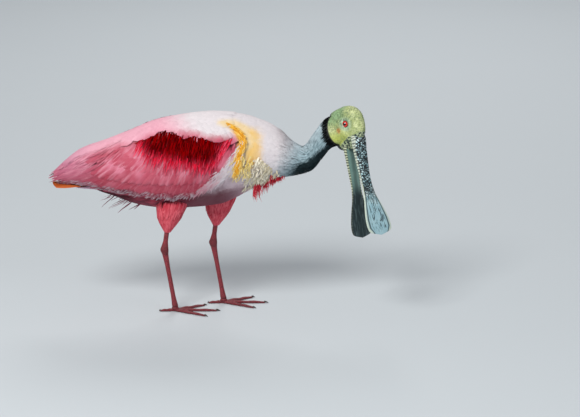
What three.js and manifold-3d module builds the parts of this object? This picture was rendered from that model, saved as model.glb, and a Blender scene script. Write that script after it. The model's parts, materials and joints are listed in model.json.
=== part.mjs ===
// A life-size roseate spoonbill that wades with its head down and its bill a little open.
// Millimetres, +X the way the bird faces, +Y its left, +Z up, feet flat on z = 0.
// The whole bird is laid out in a working frame, and the last lines move the middle of its
// outer box to x = 0, y = 0.
import * as THREE from "three";
import { mergeVertices } from "three/addons/utils/BufferGeometryUtils.js";
import Module from "manifold-3d";

const wasm = await Module();
wasm.setup();

// Driving dimensions
const GAP = 0.3; // between parts that touch
const VANE_THICK = 0.8; // of a feather's vane
const NECK_CUT_X = 95; // where the breast ends and the neck starts
const NECK_BEND_X = 190; // where the lower neck ends and the upper neck starts
const EYE_RADIUS = 8;
const EYE_TILT_DEG = 25; // up from straight sideways
const BILL_TIP = 200; // from the eyes to the tip of the bill
const BILL_OPEN_DEG = 14; // the lower mandible hangs open by this
const GAPE = { x: 20, z: -12 }; // the corner of the mouth, which the lower mandible turns about
const ANKLE_Z = 112;
const THIGH_END_Z = 148;

const point = (x, y, z) => new THREE.Vector3(x, y, z);
const degrees = THREE.MathUtils.degToRad;
const lerp = THREE.MathUtils.lerp;

// A value that runs smoothly through [place, value] pairs, whose places rise
function through(...pairs) {
  const slope = (i) => {
    const a = pairs[Math.max(0, i - 1)];
    const b = pairs[Math.min(pairs.length - 1, i + 1)];
    return (b[1] - a[1]) / (b[0] - a[0]);
  };
  return (x) => {
    let i = 0;
    while (i < pairs.length - 2 && x > pairs[i + 1][0]) i++;
    const [x0, y0] = pairs[i];
    const [x1, y1] = pairs[i + 1];
    const t = THREE.MathUtils.clamp((x - x0) / (x1 - x0), 0, 1);
    const span = x1 - x0;
    const tt = t * t;
    const ttt = tt * t;
    return (
      (2 * ttt - 3 * tt + 1) * y0 +
      (ttt - 2 * tt + t) * span * slope(i) +
      (3 * tt - 2 * ttt) * y1 +
      (ttt - tt) * span * slope(i + 1)
    );
  };
}

// A three.js geometry as a solid, its faces turned outwards
function solid(geometry) {
  const bare = geometry.clone();
  bare.deleteAttribute("normal");
  bare.deleteAttribute("uv");
  const merged = mergeVertices(bare, 1e-3);
  const corners = merged.index.array;
  const triangles = [];
  for (let i = 0; i < corners.length; i += 3) {
    const [a, b, c] = [corners[i], corners[i + 1], corners[i + 2]];
    if (a !== b && b !== c && c !== a) triangles.push(a, b, c);
  }
  const build = (order) =>
    new wasm.Manifold(
      new wasm.Mesh({
        numProp: 3,
        vertProperties: new Float32Array(merged.attributes.position.array),
        triVerts: new Uint32Array(order),
      }),
    );
  const made = build(triangles);
  return made.volume() < 0 ? build(triangles.reverse()) : made;
}

// A closed form of rings from one pole to the other: place(t, turn) is a point of its surface
function rounded(around, along, place) {
  const ball = new THREE.SphereGeometry(1, around, along);
  const spots = ball.attributes.position;
  for (let i = 0; i < spots.count; i++) {
    const ring = Math.floor(i / (around + 1));
    const step = i % (around + 1);
    const p = place(ring / along, ((step % around) / around) * 2 * Math.PI);
    spots.setXYZ(i, p.x, p.y, p.z);
  }
  return solid(ball);
}

// A thin closed sheet: place(u, t, face) has u from -1 to 1, t from 0 to 1, and face 1 or -1.
// Both faces are split into triangles alike.
function sheet(across, along, place) {
  const plane = new THREE.PlaneGeometry(2, 1, across, along);
  const spots = plane.attributes.position;
  const n = spots.count;
  const positions = new Float32Array(n * 6);
  for (let i = 0; i < n; i++) {
    const t = 0.5 - spots.getY(i);
    place(spots.getX(i), t, 1).toArray(positions, i * 3);
    place(spots.getX(i), t, -1).toArray(positions, (n + i) * 3);
  }
  const order = [...plane.index.array];
  for (let i = 0, top = order.length; i < top; i += 3) {
    order.push(n + order[i], n + order[i + 2], n + order[i + 1]);
  }
  const row = across + 1;
  const rim = [];
  for (let i = 0; i < along; i++) rim.push(i * row);
  for (let i = 0; i < across; i++) rim.push(along * row + i);
  for (let i = along; i > 0; i--) rim.push(i * row + across);
  for (let i = across; i > 0; i--) rim.push(i);
  rim.forEach((a, i) => {
    const b = rim[(i + 1) % rim.length];
    order.push(b, a, n + a, b, n + a, n + b);
  });
  const made = new THREE.BufferGeometry();
  made.setAttribute("position", new THREE.BufferAttribute(positions, 3));
  made.setIndex(order);
  return solid(made);
}

// A sheet that lies along a path, such as a feather or a lock.
// spine(t) gives its middle and the way up from it, and width(t) its half width.
function vane({ spine, width, roll = 0, cup = 0, across = 1, along = 5, thick = VANE_THICK }) {
  return sheet(across, along, (u, t, face) => {
    const spread = 1 - (1 - t) ** 1.25;
    const { at, up } = spine(spread);
    const step = 0.02;
    const ahead = spine(Math.min(1, spread + step)).at;
    const behind = spine(Math.max(0, spread - step)).at;
    const way = ahead.clone().sub(behind).normalize();
    const side = way.clone().cross(up).normalize().applyAxisAngle(way, roll);
    const lift = side.clone().cross(way).normalize();
    const half = width(spread);
    const depth = (thick / 2) * face * (t === 1 ? 0.6 : 1);
    return at
      .clone()
      .addScaledVector(side, u * half)
      .addScaledVector(lift, depth - cup * u * u * half * half);
  });
}

// The width of a feather along its length, with a narrow root and a round tip
const featherWidth = (half) => (t) =>
  half * Math.min(1, 0.45 + 2.2 * t) * Math.sqrt(Math.max(0.1, 1 - Math.max(0, (t - 0.62) / 0.4) ** 2));
const lockWidth = (half) => (t) => half * (1 - 0.78 * t * t);

// Joins solids, and keeps the largest closed surface
function join(...pieces) {
  return largest(wasm.Manifold.union(pieces));
}
function largest(made) {
  const parts = made.decompose();
  return parts.reduce((best, p) => (p.volume() > best.volume() ? p : best));
}

// Body and neck

// Stations from the rump to the nape: top and bottom of each section, and its half width
const upright = (x, y, top, bottom, half) => ({
  top: point(x, y, top),
  bottom: point(x, y, bottom),
  side: point(0, -half, 0),
});
const headRight = point(-0.743, -0.669, 0.049).normalize();
const TRUNK = [
  upright(-197, 0, 246, 238, 2),
  upright(-183, 0, 274, 216, 22),
  upright(-150, 0, 294, 203, 38),
  upright(-108, 0, 314, 188, 48),
  upright(-60, 0, 334, 181.5, 57),
  upright(-15, 0, 347.5, 183, 61),
  upright(30, 0, 352.5, 189, 62),
  upright(68, 0, 349, 206, 61),
  upright(95, -0.5, 344.5, 220, 56.5),
  upright(124, -2, 334, 235, 47),
  upright(145, -5, 319.5, 239, 38.5),
  upright(160, -7, 305.5, 241.5, 31),
  upright(173, -9, 297, 244, 25.5),
  { top: point(181, -11, 295.5), bottom: point(196, -16, 254), side: point(1, -21.5, 0) },
  { top: point(199, -13, 319.5), bottom: point(213, -22, 275), side: point(-3, -20.5, 0.6) },
  { top: point(216, -14, 342), bottom: point(229, -33, 297), side: point(-9, -18.5, 1.8) },
  { top: point(237, -17, 357), bottom: point(250, -44, 306), side: point(-14.5, -13, 1) },
  { top: point(252, -33, 367), bottom: point(262, -55, 318), side: point(-13.4, -12, 1) },
  { top: point(262, -47, 345), bottom: point(263, -49, 340), side: point(-1.5, -1.3, 0.3) },
];
const TRUNK_AROUND = 24;
const TRUNK_ALONG = 36;

// A form through stations, grown all over by a margin
function formOf(stations) {
  const line = (key) => new THREE.CatmullRomCurve3(stations.map((s) => s[key]), false, "centripetal");
  const [top, bottom, side] = ["top", "bottom", "side"].map(line);
  return (t, turn, grow = 0) => {
    const high = top.getPoint(t);
    const low = bottom.getPoint(t);
    const middle = high.clone().add(low).multiplyScalar(0.5);
    const up = high.sub(middle);
    const out = side.getPoint(t);
    up.setLength(up.length() + grow);
    out.setLength(out.length() + grow);
    return middle.addScaledVector(up, Math.cos(turn)).addScaledVector(out, Math.sin(turn));
  };
}
const trunkForm = formOf(TRUNK);
const trunkSolid = (grow) => {
  const centre = (t) => trunkForm(t, 0).add(trunkForm(t, Math.PI)).multiplyScalar(0.5);
  return rounded(TRUNK_AROUND, TRUNK_ALONG, (t, turn) =>
    t === 0 || t === 1 ? centre(t) : trunkForm(t, turn, grow),
  );
};

// The outline of the bird with its folded wings, which the wings and feathers lie on:
// top, bottom and half width of the section at each x
const FOLDED_BACK = -268;
const FOLDED_FRONT = 95;
const foldedTop = through(
  [-268, 236],
  [-255, 246],
  [-232, 267],
  [-206, 286],
  [-164, 301.5],
  [-122, 318],
  [-79, 336],
  [-35, 346],
  [10, 352],
  [55, 351.5],
  [95, 345],
);
const foldedLow = through(
  [-268, 228],
  [-232, 224],
  [-206, 218],
  [-164, 208],
  [-122, 194],
  [-79, 184],
  [-35, 182],
  [10, 187],
  [55, 199],
  [95, 220],
);
const foldedHalf = through(
  [-268, 7],
  [-255, 13],
  [-232, 23],
  [-206, 34],
  [-164, 47],
  [-122, 57],
  [-79, 65],
  [-35, 69],
  [10, 70.5],
  [55, 69],
  [95, 62],
);
function onFolded(x, turn) {
  const high = foldedTop(x);
  const low = foldedLow(x);
  const z = (high + low + (high - low) * Math.cos(turn)) / 2;
  return point(x, -foldedHalf(x) * Math.sin(turn), z);
}

// The turn round the right side at which the folded outline stands at height z
function turnAt(x, z) {
  const high = foldedTop(x);
  const low = foldedLow(x);
  return Math.acos(THREE.MathUtils.clamp((2 * z - high - low) / (high - low), -1, 1));
}

// A point of the right side, lifted straight off the folded outline
function onSide(x, turn, lift = 0) {
  const place = THREE.MathUtils.clamp(x, FOLDED_BACK + 1, FOLDED_FRONT - 1);
  const forward = onFolded(place + 1, turn).sub(onFolded(place - 1, turn));
  const round = onFolded(place, turn + 0.02).sub(onFolded(place, turn - 0.02));
  const out = round.cross(forward).normalize();
  return onFolded(place, turn).addScaledVector(out, lift);
}

// Wings

const WING_FRONT_X = 79;
const WING_BACK_X = -246;
const WING_TOP_TURN = through([-250, 6], [-120, 7], [-80, 13], [-50, 22], [0, 34], [47, 42], [62, 52], [79, 68]);
const WING_LOW_Z = through(
  [-250, 236],
  [-200, 234],
  [-170, 226],
  [-139, 221],
  [-71, 218],
  [-39, 216],
  [-7, 223],
  [17, 236],
  [41, 248],
  [66, 270],
  [79, 291],
);
const WING_DEPTH = through([-250, 3.5], [-200, 6], [-150, 14], [79, 17]);

function wingBlank() {
  return sheet(5, 13, (u, t, face) => {
    const x = lerp(WING_FRONT_X, WING_BACK_X, t);
    const top = degrees(WING_TOP_TURN(x));
    const low = turnAt(x, WING_LOW_Z(x));
    const turn = lerp(top, low, (u + 1) / 2);
    const edge = 1.6 * u ** 4;
    return onSide(x, turn, face > 0 ? -edge : -WING_DEPTH(x));
  });
}

// A feather that lies on the right side from a root to a tip, both seen from the side as [x, z].
// It rises off the wing by lift, and roll lifts its lower or rear edge over its neighbour.
function sideFeather({ root, tip, sag = 0, half, roll = 0, lift, sink = 3, across = 1, along = 3, lock }) {
  const width = lock ? lockWidth(half) : featherWidth(half);
  const from = turnAt(...root);
  const to = turnAt(...tip);
  const radius = (foldedTop(tip[0]) - foldedLow(tip[0])) / 2;
  const way = new THREE.Vector2(tip[0] - root[0], (to - from) * radius);
  const side = new THREE.Vector2(-way.y, way.x).normalize();
  return sheet(across, along, (u, t, face) => {
    const spread = 1 - (1 - t) ** 1.25;
    const out = u * width(spread);
    const bow = (sag * 4 * spread * (1 - spread)) / radius;
    const x = lerp(root[0], tip[0], spread) + out * side.x;
    const turn = lerp(from, to, spread) + bow + (out * side.y) / radius;
    const rise = lerp(-sink, lift, Math.min(1, spread / 0.25));
    const droop = 0.7 * Math.max(0, spread - 0.5) * lift;
    return onSide(x, turn, rise - droop + roll * out + (VANE_THICK / 2) * face);
  });
}

// A row of like feathers: from and to are the first and last, and count is how many
function featherRow(count, from, to, options = {}) {
  return Array.from({ length: count }, (_, i) => {
    const t = i / (count - 1);
    const arch = 4 * t * (1 - t);
    const mix = (key, bend = 0) => [lerp(from[key][0], to[key][0], t), lerp(from[key][1], to[key][1], t) - bend * arch];
    return sideFeather({
      ...options,
      root: mix("root", options.archRoot),
      tip: mix("tip", options.archTip),
      half: lerp(from.half, to.half, t),
      lift: lerp(from.lift, to.lift, t),
    });
  });
}

function rightWing(torsoGrown) {
  const feathers = [
    // Primaries, whose tips make the point over the tail
    ...featherRow(
      3,
      { root: [-168, 252], tip: [-240, 235], half: 10, lift: 0.6 },
      { root: [-186, 268], tip: [-262, 240], half: 8.5, lift: 0.8 },
      { roll: -0.07, sag: 1 },
    ),
    // Secondaries, whose tips make the lower edge from the flank to the tail
    ...featherRow(
      8,
      { root: [20, 256], tip: [11, 228], half: 14, lift: 0.4 },
      { root: [-148, 256], tip: [-212, 231], half: 14, lift: 0.6 },
      { roll: -0.07, sag: -3, archTip: 17, archRoot: 8 },
    ),
    // Greater coverts
    ...featherRow(
      6,
      { root: [34, 286], tip: [24, 255], half: 16, lift: 2.6 },
      { root: [-126, 286], tip: [-180, 254], half: 16, lift: 2.8 },
      { roll: -0.07, sag: -5, archTip: 8 },
    ),
    // Scapulars and tertials along the back
    ...featherRow(
      4,
      { root: [2, 334], tip: [-66, 322], half: 13, lift: 1 },
      { root: [-146, 297], tip: [-236, 257], half: 13, lift: 1.4 },
      { roll: 0.07, sag: -5, archTip: -6 },
    ),
    // Carmine plumes of the lesser coverts, long and narrow
    ...featherRow(
      8,
      { root: [56, 309], tip: [42, 272], half: 4.5, lift: 5 },
      { root: [-98, 309], tip: [-124, 279], half: 4.5, lift: 5 },
      { sag: -3, archTip: 12, lock: true, along: 2 },
    ),
  ];
  const whole = wasm.Manifold.union([wingBlank(), ...feathers]);
  return largest(whole.subtract(torsoGrown).trimByPlane([0, -1, 0], GAP));
}

// Tail

const TAIL_FEATHERS = 9;
function tail(torsoGrown) {
  const rootX = -168;
  const root = (spread) => point(rootX, spread * 13, 231 - 1.5 * spread * spread);
  const feathers = Array.from({ length: TAIL_FEATHERS }, (_, i) => {
    const spread = (2 * i) / (TAIL_FEATHERS - 1) - 1;
    const level = 2.6 * (1 - Math.abs(spread));
    const from = root(spread);
    const to = point(-257 + 6 * spread * spread, spread * 19, 225.5 + level - 1.5 * spread * spread);
    const spine = (t) => ({
      at: from.clone().lerp(to, t).add(point(0, 0, 1.5 * Math.sin(Math.PI * t) - 0.4 * level * (1 - t))),
      up: point(0, spread * 0.25, 1).normalize(),
    });
    return vane({ spine, width: featherWidth(8), roll: spread * -0.12, along: 3 });
  });
  const block = rounded(10, 6, (t, turn) => {
    const swell = Math.sin(Math.PI * t) ** 0.7;
    return point(
      lerp(-165, -206, t),
      17 * swell * Math.sin(turn),
      230 + 4.5 * swell * Math.cos(turn) - 1.5 * t,
    );
  });
  return largest(wasm.Manifold.union([block, ...feathers]).subtract(torsoGrown));
}

// Breast tuft: curled locks that hang from the lower neck
function tuftLocks() {
  const locks = [];
  const rows = 3;
  const perRow = 4;
  for (let row = 0; row < rows; row++) {
    for (let i = 0; i < perRow; i++) {
      const out = (row - 1) * 11 - 4;
      const x = 102 + 13 * i + 4 * (row % 2);
      const reach = 24 - 4 * i - 2 * Math.abs(row - 1);
      const t = (x - 95) / 60;
      const low = lerp(221, 240, Math.min(1, t)) + (out * out) / 90 + 5;
      const spine = (s) => ({
        at: point(x - 9 * s + 7 * s * s, out - 3 * s, low - reach * s),
        up: point(0.25, -1, 0).normalize(),
      });
      locks.push(vane({ spine, width: lockWidth(4.5), along: 3, thick: 2.4, roll: 0.4 * (row - 1) }));
    }
  }
  return locks;
}

// Head, in its own frame: +X along the bill, +Z up through the crown, the eyes at x = 0

// Height of the crown and depth of the throat along the head, and its half width
const HEAD_BACK = -33;
const HEAD_FRONT = 42;
const headHalf = through([-33, 0], [-30, 10], [-22, 17.5], [-8, 20.5], [8, 20], [22, 17.5], [33, 14.5], [42, 9]);
const headTop = through([-33, -8], [-30, 6], [-22, 18], [-8, 25.5], [8, 26], [20, 22.5], [30, 15], [42, 2]);
const headLow = through([-33, -16], [-30, -40], [-22, -50], [-8, -54], [10, -54], [26, -50], [36, -44], [42, -30]);

// The plane between the head and the upper neck, in the head's frame
const NAPE = { normal: point(-0.06, 0, 1).normalize(), offset: -33 };

function headBlank(grow = 0) {
  return rounded(18, 15, (t, turn) => {
    const x = lerp(HEAD_BACK, HEAD_FRONT, (1 - Math.cos(Math.PI * t)) / 2);
    const high = headTop(x);
    const low = headLow(x);
    const closing = t === 0 || t === 1 ? 0 : 1;
    const middle = (high + low) / 2;
    const half = headHalf(x) + grow;
    const rise = (high - low) / 2 + grow;
    const narrow = 1 - 0.22 * Math.max(0, -Math.cos(turn)) ** 2;
    return point(x, half * Math.sin(turn) * narrow * closing, middle + rise * Math.cos(turn) * closing);
  });
}

const eyeAt = (side) => point(0, side * 13, -1.4);
const ball = (centre, radius, around = 14, along = 8) =>
  rounded(around, along, (t, turn) =>
    point(
      centre.x + radius * Math.sin(Math.PI * t) * Math.cos(turn),
      centre.y + radius * Math.sin(Math.PI * t) * Math.sin(turn),
      centre.z + radius * Math.cos(Math.PI * t),
    ),
  );

// A lid round the eye
function lid(side, around = 16) {
  const ring = new THREE.TorusGeometry(6.6, 1.7, 5, around);
  ring.translate(0, 0, 4.8);
  ring.rotateX(-side * degrees(90 - EYE_TILT_DEG));
  ring.translate(...eyeAt(side).toArray());
  return solid(ring);
}

// Half width, top and bottom of each mandible along the bill
const upperHalf = through(
  [18, 12],
  [29, 15.5],
  [45, 15],
  [70, 13.5],
  [92, 12],
  [112, 12],
  [130, 14.5],
  [150, 21],
  [171, 26.5],
  [186, 27],
  [194, 22],
  [200, 0],
);
const upperMiddle = through([18, 4], [29, 4], [50, 1], [94, -3], [120, -3], [150, -1], [174, 0.5], [200, 2]);
const upperRise = through([18, 8], [29, 11], [50, 8.5], [94, 5], [130, 3], [165, 2], [192, 1.4], [200, 0.6]);
const lowerHalf = through(
  [22, 12],
  [34, 14],
  [82, 12],
  [108, 11],
  [130, 13.5],
  [150, 19],
  [172, 23.5],
  [186, 23],
  [192, 18],
  [197, 0],
);
const lowerMiddle = through([22, -14], [34, -14.7], [82, -11.7], [120, -8.5], [184, -4.6], [197, -4]);
const lowerRise = through([22, 8], [34, 12], [55, 9.5], [82, 7], [110, 4.4], [130, 2.8], [165, 2], [197, 0.6]);

// A mandible: flat towards the mouth, ribbed across its outer side, with a groove along each edge
function mandible({ from, to, half, middle, rise, outer, ribs = 0, grow = 0, around = 10, along = 28 }) {
  return rounded(around, along, (t, turn) => {
    const eased = lerp(t, (1 - Math.cos(Math.PI * t)) / 2, 0.55);
    const x = lerp(from, to, eased);
    const end = t === 0 || t === 1 ? 0 : 1;
    const w = Math.max(0.6, half(x)) + grow;
    const h = rise(x) + grow;
    const cos = Math.cos(turn) * outer;
    const fade = Math.max(0, 1 - Math.abs((x - 78) / 58) ** 3);
    const rib = cos > 0.2 ? ribs * fade * Math.sin((x * 2 * Math.PI) / 13) : 0;
    const flat = cos > 0 ? h + rib : rise(x) * 0.25 + grow;
    return point(x, end * w * Math.sin(turn), middle(x) + end * outer * cos * flat);
  });
}

const UPPER = { from: 18, to: BILL_TIP, half: upperHalf, middle: upperMiddle, rise: upperRise, outer: 1 };
const LOWER = {
  from: 22,
  to: BILL_TIP - 3,
  half: lowerHalf,
  middle: lowerMiddle,
  rise: lowerRise,
  outer: -1,
};
const opened = (made) =>
  made
    .translate([-GAPE.x, 0, -GAPE.z])
    .rotate([0, BILL_OPEN_DEG, 0])
    .translate([GAPE.x, 0, GAPE.z]);

// The room that a mandible takes in the head
const billRoom = (sizes) => mandible({ ...sizes, to: 70, from: sizes.from - 2 * GAP, grow: 1.8 * GAP, along: 18 });

function upperMandible() {
  const blank = mandible({ ...UPPER, ribs: 0.5 });
  const nostrils = [-1, 1].map((side) =>
    rounded(8, 6, (t, turn) => {
      const swell = Math.sin(Math.PI * t);
      const x = lerp(33, 46, t);
      const skin = upperMiddle(x) + 0.93 * upperRise(x);
      return point(x, side * 5.2 + 1.4 * swell * Math.sin(turn), skin + 0.6 + 2.2 * swell * Math.cos(turn));
    }),
  );
  return nostrils.reduce((made, slot) => made.subtract(slot), blank);
}

const lowerMandible = () => opened(mandible({ ...LOWER, ribs: 0.5 }));

// Legs, given by the foot's place and the thigh's lean

// A tube of round sections through [centre, radius along x, radius along y]
function limb(around, along, sections) {
  const centre = new THREE.CatmullRomCurve3(sections.map((s) => s[0]), false, "centripetal");
  const sizes = new THREE.CatmullRomCurve3(sections.map((s) => point(s[1], s[2], 0)), false, "centripetal");
  return rounded(around, along, (t, turn) => {
    const at = centre.getPoint(t);
    const size = sizes.getPoint(t);
    const end = t === 0 || t === 1 ? 0 : 1;
    return at.add(point(end * size.x * Math.cos(turn), end * size.y * Math.sin(turn), 0));
  });
}

// A toe: flat below, round above, from the foot's middle to its claw
function toe(length, angle, width, height) {
  return sheet(2, 6, (u, t, face) => {
    const taper = t > 0.86 ? lerp(1, 0.2, (t - 0.86) / 0.14) : 1 - 0.3 * t;
    const joint = 1 + 0.1 * Math.cos(t * Math.PI * 6);
    const half = (width / 2) * taper * joint;
    const top = height * taper * joint * (1 - 0.62 * u * u);
    const reach = length * t;
    return point(
      reach * Math.cos(angle) - u * half * Math.sin(angle),
      reach * Math.sin(angle) + u * half * Math.cos(angle),
      face > 0 ? top : 0,
    );
  });
}

const TOES = [
  { length: 80, angle: 0, width: 8 },
  { length: 66, angle: degrees(33), width: 7.4 },
  { length: 68, angle: degrees(-31), width: 7.4 },
  { length: 29, angle: degrees(184), width: 6.6 },
];

// The skin between the roots of the front toes
function web(a, b) {
  return sheet(2, 2, (u, t, face) => {
    const angle = lerp(a.angle, b.angle, (u + 1) / 2);
    const reach = lerp(4, 34 - 9 * (1 - u * u), t);
    return point(reach * Math.cos(angle), reach * Math.sin(angle), face > 0 ? 1.6 : 0);
  });
}

function foot() {
  const [middle, inner, outer] = TOES;
  const hub = rounded(10, 5, (t, turn) =>
    point(
      6.4 * Math.sin(Math.PI * t) * Math.cos(turn),
      6 * Math.sin(Math.PI * t) * Math.sin(turn),
      lerp(12.5, 0.2, t),
    ),
  );
  const toes = TOES.map((t) => toe(t.length, t.angle, t.width, 6.4));
  return join(hub, ...toes, web(middle, inner), web(outer, middle));
}

const LEGS = {
  right: { thigh: [point(-36, -21, 232), point(-47, -23, 190), point(-53, -24, 168)], ankleX: -62, y: -24, footX: -44 },
  left: { thigh: [point(46, 21, 232), point(37, 23, 190), point(31, 24, 168)], ankleX: 22, y: 24, footX: 40 },
};

function legParts(name, { thigh, ankleX, y, footX }, trunkGrown) {
  const side = Math.sign(y);
  const end = point(lerp(thigh[2].x, ankleX, 0.4), y, THIGH_END_Z - 5);
  const feathered = limb(16, 10, [
    [thigh[0], 20, 15],
    [thigh[1], 24, 17.5],
    [thigh[2], 20.5, 15.5],
    [end, 5.4, 5.2],
  ]);
  const bareTop = point(lerp(thigh[2].x, ankleX, 0.3), y, THIGH_END_Z + 2);
  const ankle = point(ankleX, y, ANKLE_Z);
  const footTop = point(footX, y + side, 11);
  const shankForm = (grow) => limb(10, 15, [
    [bareTop, 4.4, 4.2],
    [bareTop.clone().lerp(ankle, 0.6), 4.2, 4],
    [ankle.clone().add(point(1, 0, 8)), 5.6, 5.2],
    [ankle, 7.2, 6.6],
    [ankle.clone().add(point(1.5, 0, -9)), 5.4, 5],
    [ankle.clone().lerp(footTop, 0.35), 4, 3.9],
    [ankle.clone().lerp(footTop, 0.8), 4, 3.9],
    [footTop, 5.6, 5.4],
  ].map(([at, a, b]) => [at, a + grow, b + grow]));
  const bare = shankForm(0);
  const standing = foot().translate([footX, y + side, 0]);
  const thighOnly = largest(feathered.subtract(trunkGrown).subtract(shankForm(GAP).translate([0, 0, GAP])));
  const shank = largest(bare.subtract(standing.translate([0, 0, GAP])).subtract(standing));
  return [
    [`thigh_${name}`, thighOnly, PINK],
    [`shank_${name}`, shank, LEG_RED],
    [`foot_${name}`, standing, LEG_RED],
  ];
}

// Materials

const paint = (color, roughness) => new THREE.MeshStandardMaterial({ color, roughness, metalness: 0 });
const PINK = paint("#dc8e9c", 0.75);
const WHITE = paint("#ece8e2", 0.8);
const ROSE = paint("#d77a8b", 0.7);
const TAIL_OCHRE = paint("#c4701f", 0.7);
const HEAD_GREEN = paint("#c9cd93", 0.6);
const BILL_GREY = paint("#9aa8a6", 0.5);
const EYE_RED = paint("#b3140d", 0.15);
const LEG_RED = paint("#a8444e", 0.55);

// Assembly

const bird = new THREE.Group();
function add(name, made, material, group = bird) {
  const flat = made.getMesh();
  const geometry = new THREE.BufferGeometry();
  geometry.setAttribute("position", new THREE.BufferAttribute(new Float32Array(flat.vertProperties), 3));
  geometry.setIndex(new THREE.BufferAttribute(new Uint32Array(flat.triVerts), 1));
  geometry.computeVertexNormals();
  const mesh = new THREE.Mesh(geometry, material);
  mesh.name = name;
  group.add(mesh);
}

// The head's frame in the bird's: where the eyes' middle is, the bill's way and the crown's way
const HEAD_AT = point(264.8, -41, 343.4);
const BILL_WAY = point(0.248, -0.342, -0.906).normalize();
const CROWN_WAY = BILL_WAY.clone().cross(headRight).negate().normalize();
const head = new THREE.Group();
const headTurn = new THREE.Matrix4().makeBasis(
  BILL_WAY,
  CROWN_WAY.clone().cross(BILL_WAY).normalize(),
  CROWN_WAY,
);
head.position.copy(HEAD_AT);
head.quaternion.setFromRotationMatrix(headTurn);
bird.add(head);

const trunk = trunkSolid(0);
const trunkGrown = trunkSolid(GAP * 1.4);
const alongX = [1, 0, 0];
const against = [-1, 0, 0];

// The nape plane in the bird's frame
const napeNormal = NAPE.normal.clone().applyMatrix4(headTurn).normalize();
const napeOffset = NAPE.offset + HEAD_AT.dot(napeNormal);
const bend = point(0.97, -0.05, 0.24).normalize();
const bendOffset = bend.dot(point(NECK_BEND_X, -13, 277));

const torso = largest(trunk.trimByPlane(against, -NECK_CUT_X));
const neck = trunk.trimByPlane(alongX, NECK_CUT_X + GAP).trimByPlane(napeNormal.clone().negate().toArray(), -napeOffset + GAP / 2);
const neckLower = largest(neck.trimByPlane(bend.clone().negate().toArray(), -bendOffset));
const neckUpper = largest(neck.trimByPlane(bend.toArray(), bendOffset + GAP));
const tufted = join(neckLower, ...tuftLocks().map((lock) => lock.trimByPlane(alongX, NECK_CUT_X + GAP)));

add("torso", torso, WHITE);
add("neck_lower", tufted, WHITE);
add("neck_upper", neckUpper, WHITE);

const wings = [rightWing(trunkGrown)];
wings.push(wings[0].mirror([0, 1, 0]));
add("wing_right", wings[0], ROSE);
add("wing_left", wings[1], ROSE);
const tailClear = wings.flatMap((wing) => [wing, wing.translate([0, 0, -GAP])]);
add("tail", largest(tailClear.reduce((made, cutter) => made.subtract(cutter), tail(trunkGrown))), TAIL_OCHRE);

for (const [name, size] of Object.entries(LEGS)) {
  for (const [node, made, material] of legParts(name, size, trunkGrown)) add(node, made, material);
}

const upper = upperMandible();
const lower = lowerMandible();
const sockets = [-1, 1].map((side) => ball(eyeAt(side), EYE_RADIUS + GAP));
const lids = [-1, 1].map((side) => lid(side));
const skull = [billRoom(UPPER), opened(billRoom(LOWER)), ...sockets].reduce(
  (made, cutter) => made.subtract(cutter),
  wasm.Manifold.union([headBlank(), ...lids]).trimByPlane(NAPE.normal.toArray(), NAPE.offset + GAP / 2),
);
add("head", largest(skull), HEAD_GREEN, head);
add("bill_upper", upper, BILL_GREY, head);
add("bill_lower", largest(lower.subtract(billRoom(UPPER))), BILL_GREY, head);
add("eye_right", ball(eyeAt(-1), EYE_RADIUS), EYE_RED, head);
add("eye_left", ball(eyeAt(1), EYE_RADIUS), EYE_RED, head);

const box = new THREE.Box3().setFromObject(bird, true);
const middle = box.getCenter(new THREE.Vector3());
bird.position.set(-middle.x, -middle.y, -box.min.z);

export default bird;
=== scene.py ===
import json
import math
import bmesh
import bpy
import numpy as np
from mathutils import Matrix, Vector


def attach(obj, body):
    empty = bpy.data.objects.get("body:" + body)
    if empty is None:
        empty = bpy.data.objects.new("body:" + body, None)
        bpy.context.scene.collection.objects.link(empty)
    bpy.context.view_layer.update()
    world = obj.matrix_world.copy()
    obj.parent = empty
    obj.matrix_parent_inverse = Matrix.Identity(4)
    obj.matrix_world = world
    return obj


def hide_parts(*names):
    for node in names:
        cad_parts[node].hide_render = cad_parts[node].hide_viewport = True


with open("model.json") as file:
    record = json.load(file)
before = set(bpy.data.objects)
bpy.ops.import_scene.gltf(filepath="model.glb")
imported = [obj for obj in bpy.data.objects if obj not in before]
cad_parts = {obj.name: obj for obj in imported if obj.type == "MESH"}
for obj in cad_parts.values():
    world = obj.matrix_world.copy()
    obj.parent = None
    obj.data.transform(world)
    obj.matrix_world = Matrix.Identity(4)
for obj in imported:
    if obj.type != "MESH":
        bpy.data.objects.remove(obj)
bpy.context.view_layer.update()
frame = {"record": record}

PI = math.pi
SOLE_MARK = np.array([-22.0, -25.0, 0.0])  # the right sole's place in the layout
sole = next(m for m in frame["record"]["mounts"] if m["name"] == "right_sole")
SHIFT = np.array(sole["pos_m"]) * 1000 - SOLE_MARK


def unit(*xyz):
    way = np.array(xyz, float)
    return way / np.linalg.norm(way)


def lerp(a, b, t):
    return a + (b - a) * t


def ease(x, low, high):
    """0 before low, 1 after high, and smooth between them"""
    t = np.clip((x - low) / (high - low), 0, 1)
    return t * t * (3 - 2 * t)


def packed(spots):
    """Layout millimetres to packed metres"""
    return (np.asarray(spots, float) + SHIFT) / 1000


# Camera, floor and light

TARGET = np.array([157.5, 0.0, 180.0])
CAMERA_RISE = math.radians(15)
CAMERA_AWAY = 6.0
VIEW_WIDTH = 1.015
SENSOR = 36.0
LIGHTS = {  # place, aim, size, watts, tint
    "key": ((-1.4, -2.7, 3.1), (0, 0, 0.25), 1.7, 156, (1, 0.98, 0.95)),
    "fill": ((2.6, -2.4, 1.6), (0.05, 0, 0.2), 2.2, 20, (0.9, 0.95, 1)),
    "rim": ((0.4, 2.8, 2.4), (0, 0, 0.25), 1.8, 42, (1, 0.98, 0.96)),
}
SKY, SKY_LIGHT = (0.93, 0.96, 1, 1), 0.27


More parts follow.
